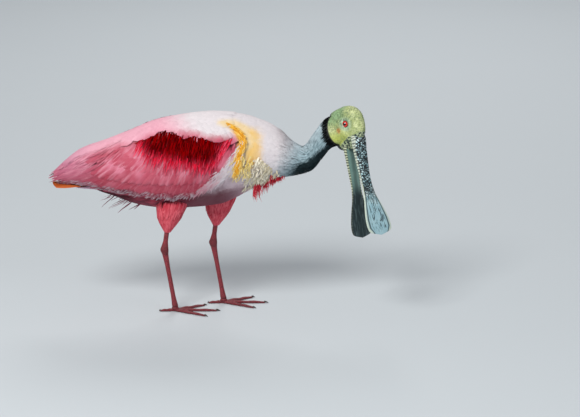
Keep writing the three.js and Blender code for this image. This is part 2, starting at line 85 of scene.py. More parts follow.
def placed(name, data):
    piece = bpy.data.objects.new(name, data)
    bpy.context.scene.collection.objects.link(piece)
    return piece


lens = bpy.data.cameras.new("camera")
lens.sensor_width = SENSOR
lens.lens = SENSOR * CAMERA_AWAY / VIEW_WIDTH
lens.clip_end = 100
camera = placed("camera", lens)
away = Vector((0, -math.cos(CAMERA_RISE), math.sin(CAMERA_RISE)))
camera.location = Vector(packed(TARGET)) + CAMERA_AWAY * away
camera.rotation_euler = away.to_track_quat("Z", "Y").to_euler()
bpy.context.scene.camera = camera
bpy.context.scene.view_settings.view_transform = "Standard"

for name, (place, aim, size, watts, tint) in LIGHTS.items():
    lamp = bpy.data.lights.new(name, "AREA")
    lamp.shape = "DISK"
    lamp.size, lamp.energy, lamp.color = size, watts, tint
    holder = placed(name, lamp)
    holder.location = place
    holder.rotation_euler = (Vector(place) - Vector(aim)).to_track_quat("Z", "Y").to_euler()

world = bpy.data.worlds.new("studio")
world.use_nodes = True
for socket, value in zip(world.node_tree.nodes["Background"].inputs, (SKY, SKY_LIGHT)):
    socket.default_value = value
bpy.context.scene.world = world


# Shapes

def through(*pairs):
    """A value that runs smoothly through (place, value) pairs, whose places rise"""
    xs, ys = np.array(pairs, float).T
    slope = np.gradient(ys, xs)
    slope[1:-1] = (ys[2:] - ys[:-2]) / (xs[2:] - xs[:-2])

    def value(x):
        x = np.asarray(x, float)
        i = np.clip(np.searchsorted(xs, x) - 1, 0, len(xs) - 2)
        span = xs[i + 1] - xs[i]
        t = np.clip((x - xs[i]) / span, 0, 1)
        tt, ttt = t * t, t * t * t
        start = (2 * ttt - 3 * tt + 1) * ys[i] + (ttt - 2 * tt + t) * span * slope[i]
        return start + (3 * tt - 2 * ttt) * ys[i + 1] + (ttt - tt) * span * slope[i + 1]

    return value


def curve_through(points):
    """A centripetal Catmull-Rom curve through points, for places from 0 to 1"""
    points = np.array(points, float)
    padded = np.vstack([2 * points[0] - points[1], points, 2 * points[-1] - points[-2]])
    steps = np.sqrt(np.linalg.norm(np.diff(padded, axis=0), axis=1))
    steps[steps < 1e-4] = 1

    def value(t):
        p = np.clip(np.asarray(t, float), 0, 1) * (len(points) - 1)
        i = np.minimum(p.astype(int), len(points) - 2)
        w = (p - i)[..., None]
        p0, p1, p2, p3 = (padded[i + k] for k in range(4))
        d0, d1, d2 = (steps[i + k][..., None] for k in range(3))
        first = ((p1 - p0) / d0 - (p2 - p0) / (d0 + d1) + (p2 - p1) / d1) * d1
        last = ((p2 - p1) / d1 - (p3 - p1) / (d1 + d2) + (p3 - p2) / d2) * d1
        c2 = -3 * p1 + 3 * p2 - 2 * first - last
        c3 = 2 * p1 - 2 * p2 + first + last
        return p1 + first * w + c2 * w**2 + c3 * w**3

    return value


def grain(x, y, seed=0):
    """Smooth noise from 0 to 1, one bump to a unit"""
    ix, iy = np.floor(x), np.floor(y)
    fx, fy = ease(x - ix, 0, 1), ease(y - iy, 0, 1)

    def corner(a, b):
        return np.modf(np.abs(np.sin(a * 127.1 + b * 311.7 + seed * 74.7) * 43758.5453))[0]

    low = lerp(corner(ix, iy), corner(ix + 1, iy), fx)
    high = lerp(corner(ix, iy + 1), corner(ix + 1, iy + 1), fx)
    return lerp(low, high, fy)


def wave(x, length, shift=0.0):
    return np.sin(x * 2 * PI / length + shift)


def bump_at(x, middle, width):
    """A smooth bump of height 1 at middle"""
    return np.exp(-(((x - middle) / width) ** 2))


def corners_of(shape):
    return np.array([v.co for v in shape.verts])


def finished(name, shape, spots=None):
    """A bmesh as an object, with its corners first moved to spots, in layout millimetres"""
    if spots is not None:
        for vert, spot in zip(shape.verts, packed(spots)):
            vert.co = spot
    bmesh.ops.recalc_face_normals(shape, faces=shape.faces)
    if shape.calc_volume(signed=True) < 0:
        bmesh.ops.reverse_faces(shape, faces=shape.faces)
    mesh = bpy.data.meshes.new(name)
    shape.to_mesh(mesh)
    shape.free()
    mesh.shade_smooth()
    return placed(name, mesh)


def form(name, around, along, place):
    """A closed form from one pole to the other: place(t, turn) gives points of its surface"""
    shape = bmesh.new()
    bmesh.ops.create_uvsphere(shape, u_segments=around, v_segments=along, radius=1)
    x, y, z = corners_of(shape).T
    t = np.round(np.arccos(np.clip(z, -1, 1)) / PI * along) / along
    return finished(name, shape, place(t, np.arctan2(y, x) % (2 * PI)))


def closed(place):
    """Draws each end of a form to the middle of its last ring"""
    def ended(t, turn):
        middle = (place(t, 0 * turn) + place(t, 0 * turn + PI)) / 2
        return np.where(((t == 0) | (t == 1))[:, None], middle, place(t, turn))

    return ended


def fused(name, pieces):
    """Closed pieces as one closed piece"""
    base, *others = pieces
    for other in others:
        step = base.modifiers.new("union", "BOOLEAN")
        step.operation, step.solver, step.object = "UNION", "MANIFOLD", other
    layer = bpy.context.evaluated_depsgraph_get()
    mesh = bpy.data.meshes.new_from_object(base.evaluated_get(layer))
    for piece in pieces:
        bpy.data.objects.remove(piece)
    mesh.name = name
    mesh.shade_smooth()
    return placed(name, mesh)


# Body and neck

def upright(x, y, top, bottom, half):
    return ((x, y, top), (x, y, bottom), (0, -half, 0))


TRUNK = [  # top, bottom, and the way to the right side, from the rump to the nape
    upright(-197, 0, 246, 238, 2),
    upright(-183, 0, 274, 216, 22),
    upright(-150, 0, 294, 203, 38),
    upright(-108, 0, 314, 188, 48),
    upright(-60, 0, 334, 181.5, 57),
    upright(-15, 0, 347.5, 183, 61),
    upright(30, 0, 352.5, 189, 62),
    upright(68, 0, 349, 206, 61),
    upright(95, -0.5, 344.5, 220, 56.5),
    upright(124, -2, 334, 235, 47),
    upright(145, -5, 319.5, 239, 38.5),
    upright(160, -7, 305.5, 241.5, 31),
    upright(173, -9, 297, 244, 25.5),
    ((181, -11, 295.5), (196, -16, 254), (1, -21.5, 0)),
    ((199, -13, 319.5), (213, -22, 275), (-3, -20.5, 0.6)),
    ((216, -14, 342), (229, -33, 297), (-9, -18.5, 1.8)),
    ((237, -17, 357), (250, -44, 306), (-14.5, -13, 1)),
    ((252, -33, 367), (262, -55, 318), (-13.4, -12, 1)),
    ((262, -47, 345), (263, -49, 340), (-1.5, -1.3, 0.3)),
]
trunk_top, trunk_bottom, trunk_side = (curve_through([s[k] for s in TRUNK]) for k in range(3))


def longer(way, grow):
    size = np.linalg.norm(way, axis=-1, keepdims=True)
    return way * np.maximum(0.05, size + grow) / size


def trunk(t, turn, grow=0.0):
    """The body's and neck's surface. Turn 0 is the back, a quarter turn the right side."""
    high, low = trunk_top(t), trunk_bottom(t)
    middle = (high + low) / 2
    grow = np.broadcast_to(np.asarray(grow, float), np.shape(t))[..., None]
    up = longer(high - middle, grow)
    out = longer(trunk_side(t), grow)
    return middle + up * np.cos(turn)[..., None] + out * np.sin(turn)[..., None]


# The trunk's middle line, whose first part runs steadily forward
ALONG = np.linspace(0, 1, 2001)
MIDDLE = (trunk_top(ALONG) + trunk_bottom(ALONG)) / 2
RUN = np.concatenate([[0], np.cumsum(np.linalg.norm(np.diff(MIDDLE, axis=0), axis=1))])
FORWARD = slice(0, 1500)


def at_trunk(x, along=ALONG):
    """The place along the trunk, or the run of its middle line, this far forward"""
    return np.interp(x, MIDDLE[FORWARD, 0], along[FORWARD])


# The outline of the folded wings
folded_top = through(
    (-268, 236), (-255, 246), (-232, 267), (-206, 286), (-164, 301.5), (-122, 318),
    (-79, 336), (-35, 346), (10, 352), (55, 351.5), (95, 345),
)
folded_low = through(
    (-268, 228), (-232, 224), (-206, 218), (-164, 208), (-122, 194),
    (-79, 184), (-35, 182), (10, 187), (55, 199), (95, 220),
)
folded_half = through(
    (-268, 7), (-255, 13), (-232, 23), (-206, 34), (-164, 47), (-122, 57),
    (-79, 65), (-35, 69), (10, 70.5), (55, 69), (95, 62),
)
WING_FRONT, WING_BACK = 79, -246
wing_top_turn = through(
    (-250, 6), (-120, 7), (-80, 13), (-50, 22), (0, 34), (47, 42), (62, 52), (79, 68),
)
wing_low_z = through(
    (-250, 236), (-200, 234), (-170, 226), (-139, 221), (-71, 218), (-39, 216),
    (-7, 223), (17, 236), (41, 248), (66, 270), (79, 291),
)
wing_depth = through((-250, 3.5), (-200, 6), (-150, 14), (79, 17))


def on_folded(x, turn):
    high, low = folded_top(x), folded_low(x)
    z = (high + low + (high - low) * np.cos(turn)) / 2
    return np.stack([x, -folded_half(x) * np.sin(turn), z], axis=-1)


def turn_at(x, z):
    high, low = folded_top(x), folded_low(x)
    return np.arccos(np.clip((2 * z - high - low) / (high - low), -1, 1))


def right_wing(x, turn, lift=0.0):
    """The right side of the folded outline, with a lift straight off it"""
    x = np.clip(x, -267, 94)
    forward = on_folded(x + 1, turn) - on_folded(x - 1, turn)
    round_it = on_folded(x, turn + 0.02) - on_folded(x, turn - 0.02)
    out = np.cross(round_it, forward)
    out /= np.linalg.norm(out, axis=-1, keepdims=True)
    return on_folded(x, turn) + out * np.asarray(lift)[..., None]


def left_wing(x, turn, lift=0.0):
    return right_wing(x, turn, lift) * np.array([1, -1, 1])


def both_wings(x, turn, lift):
    """The right wing, and the left one where turn is below 0"""
    return right_wing(x, abs(turn), lift) * np.where(turn[..., None] < 0, [1, -1, 1], 1)


# Head, in its own frame: along the bill, to the left, and up through the crown
HEAD_AT = np.array([264.8, -41, 343.4])
BILL_WAY = unit(0.248, -0.342, -0.906)
HEAD_RIGHT = unit(-0.743, -0.669, 0.049)
CROWN_WAY = unit(*-np.cross(BILL_WAY, HEAD_RIGHT))
HEAD_LEFT = unit(*np.cross(CROWN_WAY, BILL_WAY))
HEAD_WAYS = np.array([BILL_WAY, HEAD_LEFT, CROWN_WAY])
NAPE_WAY = unit(*(-0.06 * BILL_WAY + CROWN_WAY))
NAPE_LEVEL = -33 + HEAD_AT @ NAPE_WAY
BACK_OF_HEAD, FRONT_OF_HEAD = -33, 42

head_half = through((-33, 0), (-30, 10), (-22, 17.5), (-8, 20.5), (8, 20), (22, 17.5), (33, 14.5), (42, 9))
head_top = through((-33, -8), (-30, 6), (-22, 18), (-8, 25.5), (8, 26), (20, 22.5), (30, 15), (42, 2))
head_low = through((-33, -16), (-30, -40), (-22, -50), (-8, -54), (10, -54), (26, -50), (36, -44), (42, -30))
EYE_TILT = math.radians(25)
EYE_RADIUS = 8.0
GAPE = np.array([20.0, 0, -12])  # what the lower mandible turns about, to open
BILL_OPEN = math.radians(14)
SIDES = {-1: "right", 1: "left"}


def from_head(spots):
    return HEAD_AT + spots @ HEAD_WAYS


def eye_at(side):
    return np.array([0, side * 13, -1.4])


def eye_way(side):
    return np.array([0, side * math.cos(EYE_TILT), math.sin(EYE_TILT)])


def from_eye(spots, side):
    """From a frame whose z axis looks out of an eye to the layout"""
    turn = Vector((0, 0, 1)).rotation_difference(Vector(eye_way(side))).to_matrix()
    return from_head(spots @ np.array(turn).T + eye_at(side))


def head_folds(p):
    """How far the skin of the head stands out, with its wrinkles, at points in the head's frame"""
    x, y, z = p.T
    out = np.zeros(len(p))
    for side in SIDES:
        away = p - eye_at(side)
        along = away @ eye_way(side)
        far = np.linalg.norm(away - along[:, None] * eye_way(side), axis=1)
        rings = wave(far, 2.1, 1.2 * grain(x / 3, z / 3, 4))
        out += (along > 0) * (1.1 * bump_at(far, 9.4, 1.5) - 6.5 * ease(far, 7.2, 5.9)
                              + 0.3 * rings * bump_at(far, 12.5, 3))
    sides = ease(np.abs(y), 7, 14)
    back = ease(-x, -4, 8) * ease(-z, -8, 4)
    folds = 0.5 + 0.5 * wave(z + 0.45 * x, 4.6, 3 * grain(x / 6, z / 7, 1))
    jaw = ease(x, 4, 14) * ease(-z, 6, 14)
    pleats = wave(z - 0.5 * x, 5.2, 3 * grain(x / 5, z / 6, 2))
    out += sides * (back * (0.95 * folds**2 - 0.3) + jaw * 0.6 * pleats)
    out += 0.7 * (grain(x / 4.5, z / 4.5 + y / 6, 3) - 0.5) + 0.35 * (grain(x / 1.7 + y / 3, z / 1.7, 5) - 0.5)
    return out + ease(z, 8, 20) * 0.35 * wave(x, 3.6, 4 * grain(y / 5, x / 9, 6))


def head_place(t, turn):
    x = lerp(BACK_OF_HEAD, FRONT_OF_HEAD, (1 - np.cos(PI * t)) / 2)
    high, low = head_top(x), head_low(x)
    closing = np.where((t == 0) | (t == 1), 0.0, 1.0)
    narrow = 1 - 0.22 * np.maximum(0, -np.cos(turn)) ** 2
    y = head_half(x) * np.sin(turn) * narrow * closing
    z = (high + low) / 2 + (high - low) / 2 * np.cos(turn) * closing
    spots = np.stack([x, y, z], axis=1)
    middle = np.stack([x * 0.8, 0 * x, (high + low) / 2], axis=1)
    out = spots - middle
    out /= np.maximum(1e-6, np.linalg.norm(out, axis=1, keepdims=True))
    return from_head(spots + out * (head_folds(spots) * closing - 0.15)[:, None])


def lid(side):
    """A thick wrinkled ring round the eye"""
    shape = bmesh.new()
    bmesh.ops.create_circle(shape, segments=16, radius=1.2)
    stand = Matrix.Translation((7.15, 0, 4.9)) @ Matrix.Rotation(PI / 2, 4, "X")
    bmesh.ops.transform(shape, matrix=stand, verts=shape.verts)
    bmesh.ops.spin(shape, geom=shape.edges[:], cent=(0, 0, 0), axis=(0, 0, 1), angle=2 * PI, steps=72,
                   use_merge=True, dvec=(0, 0, 0))
    bmesh.ops.remove_doubles(shape, verts=shape.verts, dist=0.01)
    raw = corners_of(shape)
    angle = np.arctan2(raw[:, 1], raw[:, 0])
    raw *= (1 + 0.02 * np.sin(angle * 23) + 0.03 * (grain(angle * 3, raw[:, 2], 8) - 0.5))[:, None]
    return finished("lid", shape, from_eye(raw, side))


# Legs

ANKLE_Z, THIGH_END_Z = 112, 148
LEGS = {
    "right": dict(thigh=[(-36, -21, 232), (-47, -23, 190), (-53, -24, 168)], ankle=(-62, -24), foot=(-44, -25)),
    "left": dict(thigh=[(46, 21, 232), (37, 23, 190), (31, 24, 168)], ankle=(22, 24), foot=(40, 25)),
}
TOES = [(80, 0, 8.0), (66, 33, 7.4), (68, -31, 7.4), (29, 184, 6.6)]  # length, angle, width
TOE_END, CLAW_START, CLAW_RUN = 0.92, 0.885, 0.113  # of a toe's length
TOE_HEIGHT = 5.704
THIGH_RADII = [(20, 15), (24, 17.5), (20.5, 15.5), (5.4, 5.2)]


def limb(sections):
    """A tube of round sections, given as (centre, half along x, half along y)"""
    centre = curve_through([s[0] for s in sections])
    sizes = curve_through([(s[1], s[2]) for s in sections])

    def surface(t, turn, grow=0.0):
        at, size = centre(t), sizes(t)
        x = (size[..., 0] + grow) * np.cos(turn)
        y = (size[..., 1] + grow) * np.sin(turn)
        return at + np.stack([x, y, 0 * x], axis=-1)

    return surface


def thigh_of(leg):
    x, y = leg["ankle"]
    end = (lerp(leg["thigh"][2][0], x, 0.4), y, THIGH_END_Z - 5)
    return limb([(at, *size) for at, size in zip([*leg["thigh"], end], THIGH_RADII)])


def shank_of(leg):
    x, y = leg["ankle"]
    top = np.array([lerp(leg["thigh"][2][0], x, 0.3), y, THIGH_END_Z + 10])
    ankle = np.array([x, y, ANKLE_Z])
    foot = np.array([*leg["foot"], 9])
    return limb([
        (top, 4.4, 4.2),
        (lerp(top, ankle, 0.6), 4.2, 4),
        (ankle + (1, 0, 8), 5.6, 5.2),
        (ankle, 7.2, 6.6),
        (ankle + (1.5, 0, -9), 5.4, 5),
        (lerp(ankle, foot, 0.35), 4, 3.9),
        (lerp(ankle, foot, 0.8), 4, 3.9),
        (foot, 5.6, 5.4),
    ])


def from_foot(foot, angle, reach, across, z):
    """Places on a toe or web that points at an angle"""
    x = foot[0] + reach * np.cos(angle) - across * np.sin(angle)
    y = foot[1] + reach * np.sin(angle) + across * np.cos(angle)
    return np.stack([x, y, z], axis=1)


def toe_place(foot, length, angle, width):
    """A jointed toe, flat below, whose scales stand across its top"""
    def place(t, turn):
        s = TOE_END * t
        body = np.sqrt(np.clip(1 - np.maximum(0, (s - 0.8) / 0.14) ** 2, 0.0, 1))
        joints = 1 + 0.09 * np.cos(s * PI * 6)
        scales = 0.16 * np.abs(np.sin(s * length * PI / 2.6)) * np.maximum(0, np.sin(turn))
        half = width / 2 * (1 - 0.3 * s) * joints * np.maximum(body, 0.05)
        high = TOE_HEIGHT * (1 - 0.42 * s) * joints * np.maximum(body, 0.3)
        z = np.maximum(0.02, high / 2 + (high / 2 + scales) * np.sin(turn))
        return from_foot(foot, math.radians(angle), s * length, half * np.cos(turn), z)

    return closed(place)


def claw_place(foot, length, angle):
    def place(t, turn):
        size = 1.75 * (1 - t) ** 0.6 * np.minimum(1, 0.55 + 3 * t)
        reach = length * (CLAW_START + CLAW_RUN * t)
        z = 2.3 + 1.1 * np.sin(PI * t) - 1.9 * t + size * 1.15 * np.sin(turn)
        return from_foot(foot, math.radians(angle), reach, size * np.cos(turn), np.maximum(0.03, z))

    return closed(place)


def web_place(foot, first, second):
    """The short web between two toes"""
    def place(t, turn):
        s = 0.5 - 0.5 * np.cos(turn)
        angle = np.radians(lerp(first[1], second[1], s))
        reach = lerp(3, 34 - 9 * (4 * s * (1 - s)), t)
        thick = 0.75 * np.sin(turn) * np.sin(PI * np.clip(t, 0.02, 0.98)) ** 0.3
        return from_foot(foot, angle, reach, 0, 0.85 + thick)

    return closed(place)


def hub_place(foot):
    """The middle of a foot, over its sole"""
    def place(t, turn):
        size = np.sin(PI * t)
        return np.stack([foot[0] + 6.2 * size * np.cos(turn), foot[1] + 5.8 * size * np.sin(turn),
                         lerp(12.5, 0.05, t)], axis=1)

    return place


# Skin: one closed surface under the feathers, and bare on the head and legs

SKIN_INSET, THIGH_INSET = 3.2, 2.6  # how far the skin lies inside the solids
SOFT_Z, THROAT_Z = 168, -24  # where the fused skin is smoothed: above the thighs' ends and below the head


def wing_core(mirror):
    """The flesh of a folded wing, a flat form under its feathers"""
    def place(t, turn):
        x = lerp(WING_FRONT - 2, WING_BACK + 12, t)
        top = np.radians(wing_top_turn(x)) + 0.05
        low = turn_at(x, wing_low_z(x) + 4)
        swell = np.clip(1 - (2 * t - 1) ** 8, 0, 1) ** 0.5
        across = lerp((top + low) / 2, np.where(np.cos(turn) > 0, low, top), np.abs(np.cos(turn)) * swell)
        outer = -SKIN_INSET
        inner = -np.maximum(wing_depth(x), SKIN_INSET + 1.0)
        way_in = np.where(np.sin(turn) > 0, outer, inner)
        depth = lerp((outer + inner) / 2, way_in, np.abs(np.sin(turn)) ** 0.5 * swell)
        return right_wing(x, across, depth) * np.array([1, mirror, 1])

    return closed(place)


def skin():
    parts = [form("trunk", 96, 220, closed(lambda t, turn: trunk(t, turn, -SKIN_INSET)))]
    parts.append(form("head", 144, 150, head_place))
    parts += [lid(side) for side in SIDES]
    parts += [form("wing core", 48, 72, wing_core(mirror)) for mirror in (1, -1)]
    for leg in LEGS.values():
        thigh, shank, foot = thigh_of(leg), shank_of(leg), leg["foot"]
        parts.append(form("thigh", 40, 36, closed(lambda t, turn: thigh(t, turn, -THIGH_INSET))))
        parts.append(form("shank", 28, 120, closed(shank)))
        parts.append(form("hub", 24, 14, hub_place(foot)))
        parts += [form("toe", 20, 60, toe_place(foot, *toe)) for toe in TOES]
        parts += [form("web", 24, 10, web_place(foot, TOES[0], TOES[k])) for k in (1, 2)]
    whole = fused("skin", parts)
    shape = bmesh.new()
    shape.from_mesh(whole.data)
    spots = corners_of(shape) * 1000 - SHIFT
    soft = (spots[:, 2] > SOFT_Z) & ((spots - HEAD_AT) @ CROWN_WAY < THROAT_Z)
    near = [v for v, keep in zip(shape.verts, soft) if keep]
    creased = {v for v in near if any(e.is_manifold and e.calc_face_angle(0) > 0.3 for e in v.link_edges)}
    for _ in range(2):
        creased |= {e.other_vert(v) for v in creased for e in v.link_edges}
    for _ in range(6):
        bmesh.ops.smooth_vert(shape, verts=list(creased), factor=0.5,
                              use_axis_x=True, use_axis_y=True, use_axis_z=True)
    shape.to_mesh(whole.data)
    shape.free()
    return whole


# Feathers

rng = np.random.default_rng(11)
PATCH = 0.003  # the size of one feather's patch on the baked map
PATCH_START, PATCH_SPAN = 0.005, 0.985
LAST_ROOT = 0.985  # how far along the trunk feathers start


def feather_width(s):
    return np.minimum(1, 0.4 + 2.2 * s) * np.sqrt(np.maximum(0.06, 1 - np.maximum(0, (s - 0.55) / 0.46) ** 2))


def plume_width(s):
    return np.minimum(1, 0.5 + 3 * s) * (1 - 0.86 * s**1.6)


def reach_of(surface, a, b):
    """A surface's points, and the millimetres that a step of each of its two places takes there"""
    flat = np.zeros(len(a))
    step_a, step_b = np.ptp(a) * 1e-3 + 1e-4, 1e-3
    at = surface(a, b, flat)
    per_a = np.linalg.norm(surface(a + step_a, b, flat) - at, axis=1) / step_a
    per_b = np.linalg.norm(surface(a, b + step_b, flat) - at, axis=1) / step_b
    return at, np.maximum(per_a, 1e-3), np.maximum(per_b, 1.0)


def headed(surface, a, b, angle, length):
    """Where feathers end that start at (a, b): angle 0 lies back to the rump, a quarter turn down the side"""
    _, per_a, per_b = reach_of(surface, a, b)
    return a - length * np.cos(angle) / per_a, b + length * np.sin(angle) / per_b


def share_of(values):
    return (values - values.min()) / max(1e-6, np.ptp(values))


def coat(name, surface, start, end, half, tip, sink=2.0, rings=4, across=2, thick=0.5, shape=feather_width,
         camber=0.0, bend=0.0, curl=0.0):
    """Feathers laid on a surface from start to end, each an array pair of its two places. half is their half
    width, tip how far their tips stand off it and sink how deep their roots lie, in millimetres."""
    a0, b0 = (np.asarray(v, float) for v in start)
    n = len(a0)

    def each(values):
        return np.broadcast_to(np.asarray(values, float), n)[:, None, None]

    root, per_a, per_b = reach_of(surface, a0, b0)
    way = np.stack([(end[0] - a0) * per_a, (end[1] - b0) * per_b], axis=1)
    length = np.linalg.norm(way, axis=1)

    # Each feather is a flat tube of rings, its upper face from edge to edge and then its lower one
    s = 1 - (1 - np.linspace(0, 1, rings)) ** 1.3
    top_u = np.linspace(-1, 1, across + 1)
    low_u = top_u[-2:0:-1]
    face = np.concatenate([np.sqrt(1 - top_u**2), -np.sqrt(1 - low_u**2)])
    ring = len(face)
    s, u = s[None, :, None], np.concatenate([top_u, low_u])[None, None, :]
    ragged = 1 + 0.12 * rng.uniform(-1, 1, (n, rings, 1))
    out = each(half) * shape(s) * u * ragged + each(bend * length) * s**2
    a = lerp(each(a0), each(end[0]), s) - out * each(way[:, 1] / length / per_a)
    b = lerp(each(b0), each(end[1]), s) + out * each(way[:, 0] / length / per_b)
    lift = lerp(-each(sink), each(tip), ease(s, -0.15, 0.45)) + each(curl) * s**3
    lift = lift + thick / 2 * face * (1 - 0.8 * s**2) - camber * u**2
    verts = packed(surface(a, b, lift + 0 * a).reshape(-1, 3))

    grid = np.arange(n * rings * ring).reshape(n, rings, ring)
    here, there = grid[:, :-1], grid[:, 1:]
    walls = np.stack([here, np.roll(here, -1, 2), np.roll(there, -1, 2), there], axis=-1).reshape(-1, 4)
    ends = np.concatenate([grid[:, 0, ::-1], grid[:, -1]])
    first = verts[walls[: (rings - 1) * ring]]
    corner, second, third, fourth = (first[:, k] - first[0, 0] for k in range(4))
    if np.sum(np.cross(corner, second) * third + np.cross(corner, third) * fourth) < 0:
        walls, ends = walls[:, ::-1], ends[:, ::-1]

    mesh = bpy.data.meshes.new(name)
    mesh.vertices.add(len(verts))
    mesh.vertices.foreach_set("co", verts.astype(np.float32).ravel())
    loops = np.concatenate([walls.ravel(), ends.ravel()]).astype(np.int32)
    totals = np.concatenate([np.full(len(walls), 4), np.full(len(ends), ring)]).astype(np.int32)
    mesh.loops.add(len(loops))
    mesh.loops.foreach_set("vertex_index", loops)
    mesh.polygons.add(len(totals))
    mesh.polygons.foreach_set("loop_start", np.concatenate([[0], np.cumsum(totals)[:-1]]).astype(np.int32))
    mesh.polygons.foreach_set("loop_total", totals)
    mesh.update(calc_edges=True)
    mesh.shade_smooth()
    # The edges of a feather and its two ends are sharp
    pairs = np.empty(len(mesh.edges) * 2, np.int32)
    mesh.edges.foreach_get("vertices", pairs)
    column, level = (pairs % ring).reshape(-1, 2).T, (pairs // ring % rings).reshape(-1, 2).T
    rim = (column[0] == column[1]) & np.isin(column[0], (0, across)) & (level[0] != level[1])
    rim |= (level[0] == level[1]) & np.isin(level[0], (0, rings - 1))
    mesh.attributes.new("sharp_edge", "BOOLEAN", "EDGE").data.foreach_set("value", rim)

    def flat(*columns):
        return np.stack([np.broadcast_to(v, (n, rings, ring)) for v in columns], axis=-1).reshape(n * rings * ring, -1)

    bake = flat(*(PATCH_START + PATCH_SPAN * each(share_of(v)) + PATCH * patch
                  for v, patch in ((a0, (u + 1) / 2), (b0, s))))
    for layer, values in (("vane", flat(out, s * each(length)) / 1000), ("OFBake", bake)):
        mesh.uv_layers.new(name=layer).uv.foreach_set("vector", values[loops].astype(np.float32).ravel())
    tone = flat(each(rng.uniform(0, 1, n)), s, u)
    for key, values in (("root", flat(*(each(v) for v in packed(root).T))), ("tone", tone)):
        kept = mesh.attributes.new(key, "FLOAT_VECTOR", "POINT")
        kept.data.foreach_set("vector", values.astype(np.float32).ravel())
    return placed(name, mesh)


def trunk_roots(first_x, last_x, step, around, sides=72, loose=(0.3, 0.35)):
    """Even roots on the trunk between two distances forward, or up to the nape"""
    last = at_trunk(last_x, RUN) if last_x else RUN[-1]
    rows = np.interp(np.arange(at_trunk(first_x, RUN), last, step), RUN, ALONG)
    found = []
    for i, row in enumerate(rows):
        ring = trunk(np.full(sides + 1, row), np.linspace(0, 2 * PI, sides + 1))
        count = max(3, round(np.linalg.norm(np.diff(ring, axis=0), axis=1).sum() / around))
        turn = np.arange(count) + 0.5 * (i % 2) + rng.uniform(-loose[1], loose[1], count)
        place = row + rng.uniform(-loose[0], loose[0], count) * (rows[1] - rows[0])
        found.append(np.stack([place, turn / count * 2 * PI], axis=1))
    a, b = np.concatenate(found).T
    return np.minimum(a, LAST_ROOT), b


# Finishes

def colour(red, green, blue):
    """A screen colour, 0 to 255, as linear light"""
    return tuple(((c / 255 + 0.055) / 1.055) ** 2.4 if c > 10 else c / 255 / 12.92 for c in (red, green, blue)) + (1,)


def operator(operation, swapped=False):
    """A Math node as a method of a wire"""
    def apply(*values):
        ordered = values[::-1] if swapped else values
        return values[0].finish.node("Math", {"operation": operation}, dict(enumerate(ordered)))

    return apply


class Wire:
    """A number, vector or colour on its way through a finish's nodes"""

    def __init__(self, finish, socket):
        self.finish, self.socket = finish, socket

    __add__ = __radd__ = operator("ADD")
    __mul__ = __rmul__ = operator("MULTIPLY")
    __sub__, __rsub__ = operator("SUBTRACT"), operator("SUBTRACT", True)
    __truediv__, __pow__, __abs__ = operator("DIVIDE"), operator("POWER"), operator("ABSOLUTE")
    sine, most, least = operator("SINE"), operator("MAXIMUM"), operator("MINIMUM")

    def ease(self, low, high):
        """0 at low, 1 at high, smooth between, whichever is the greater"""
        return self.finish.node("MapRange", {"interpolation_type": "SMOOTHSTEP"}, {0: self, 1: low, 2: high})

    def near(self, middle, reach):
        """1 at middle, 0 beyond reach"""
        return 1 - abs(self - middle).ease(0.25 * reach, reach)


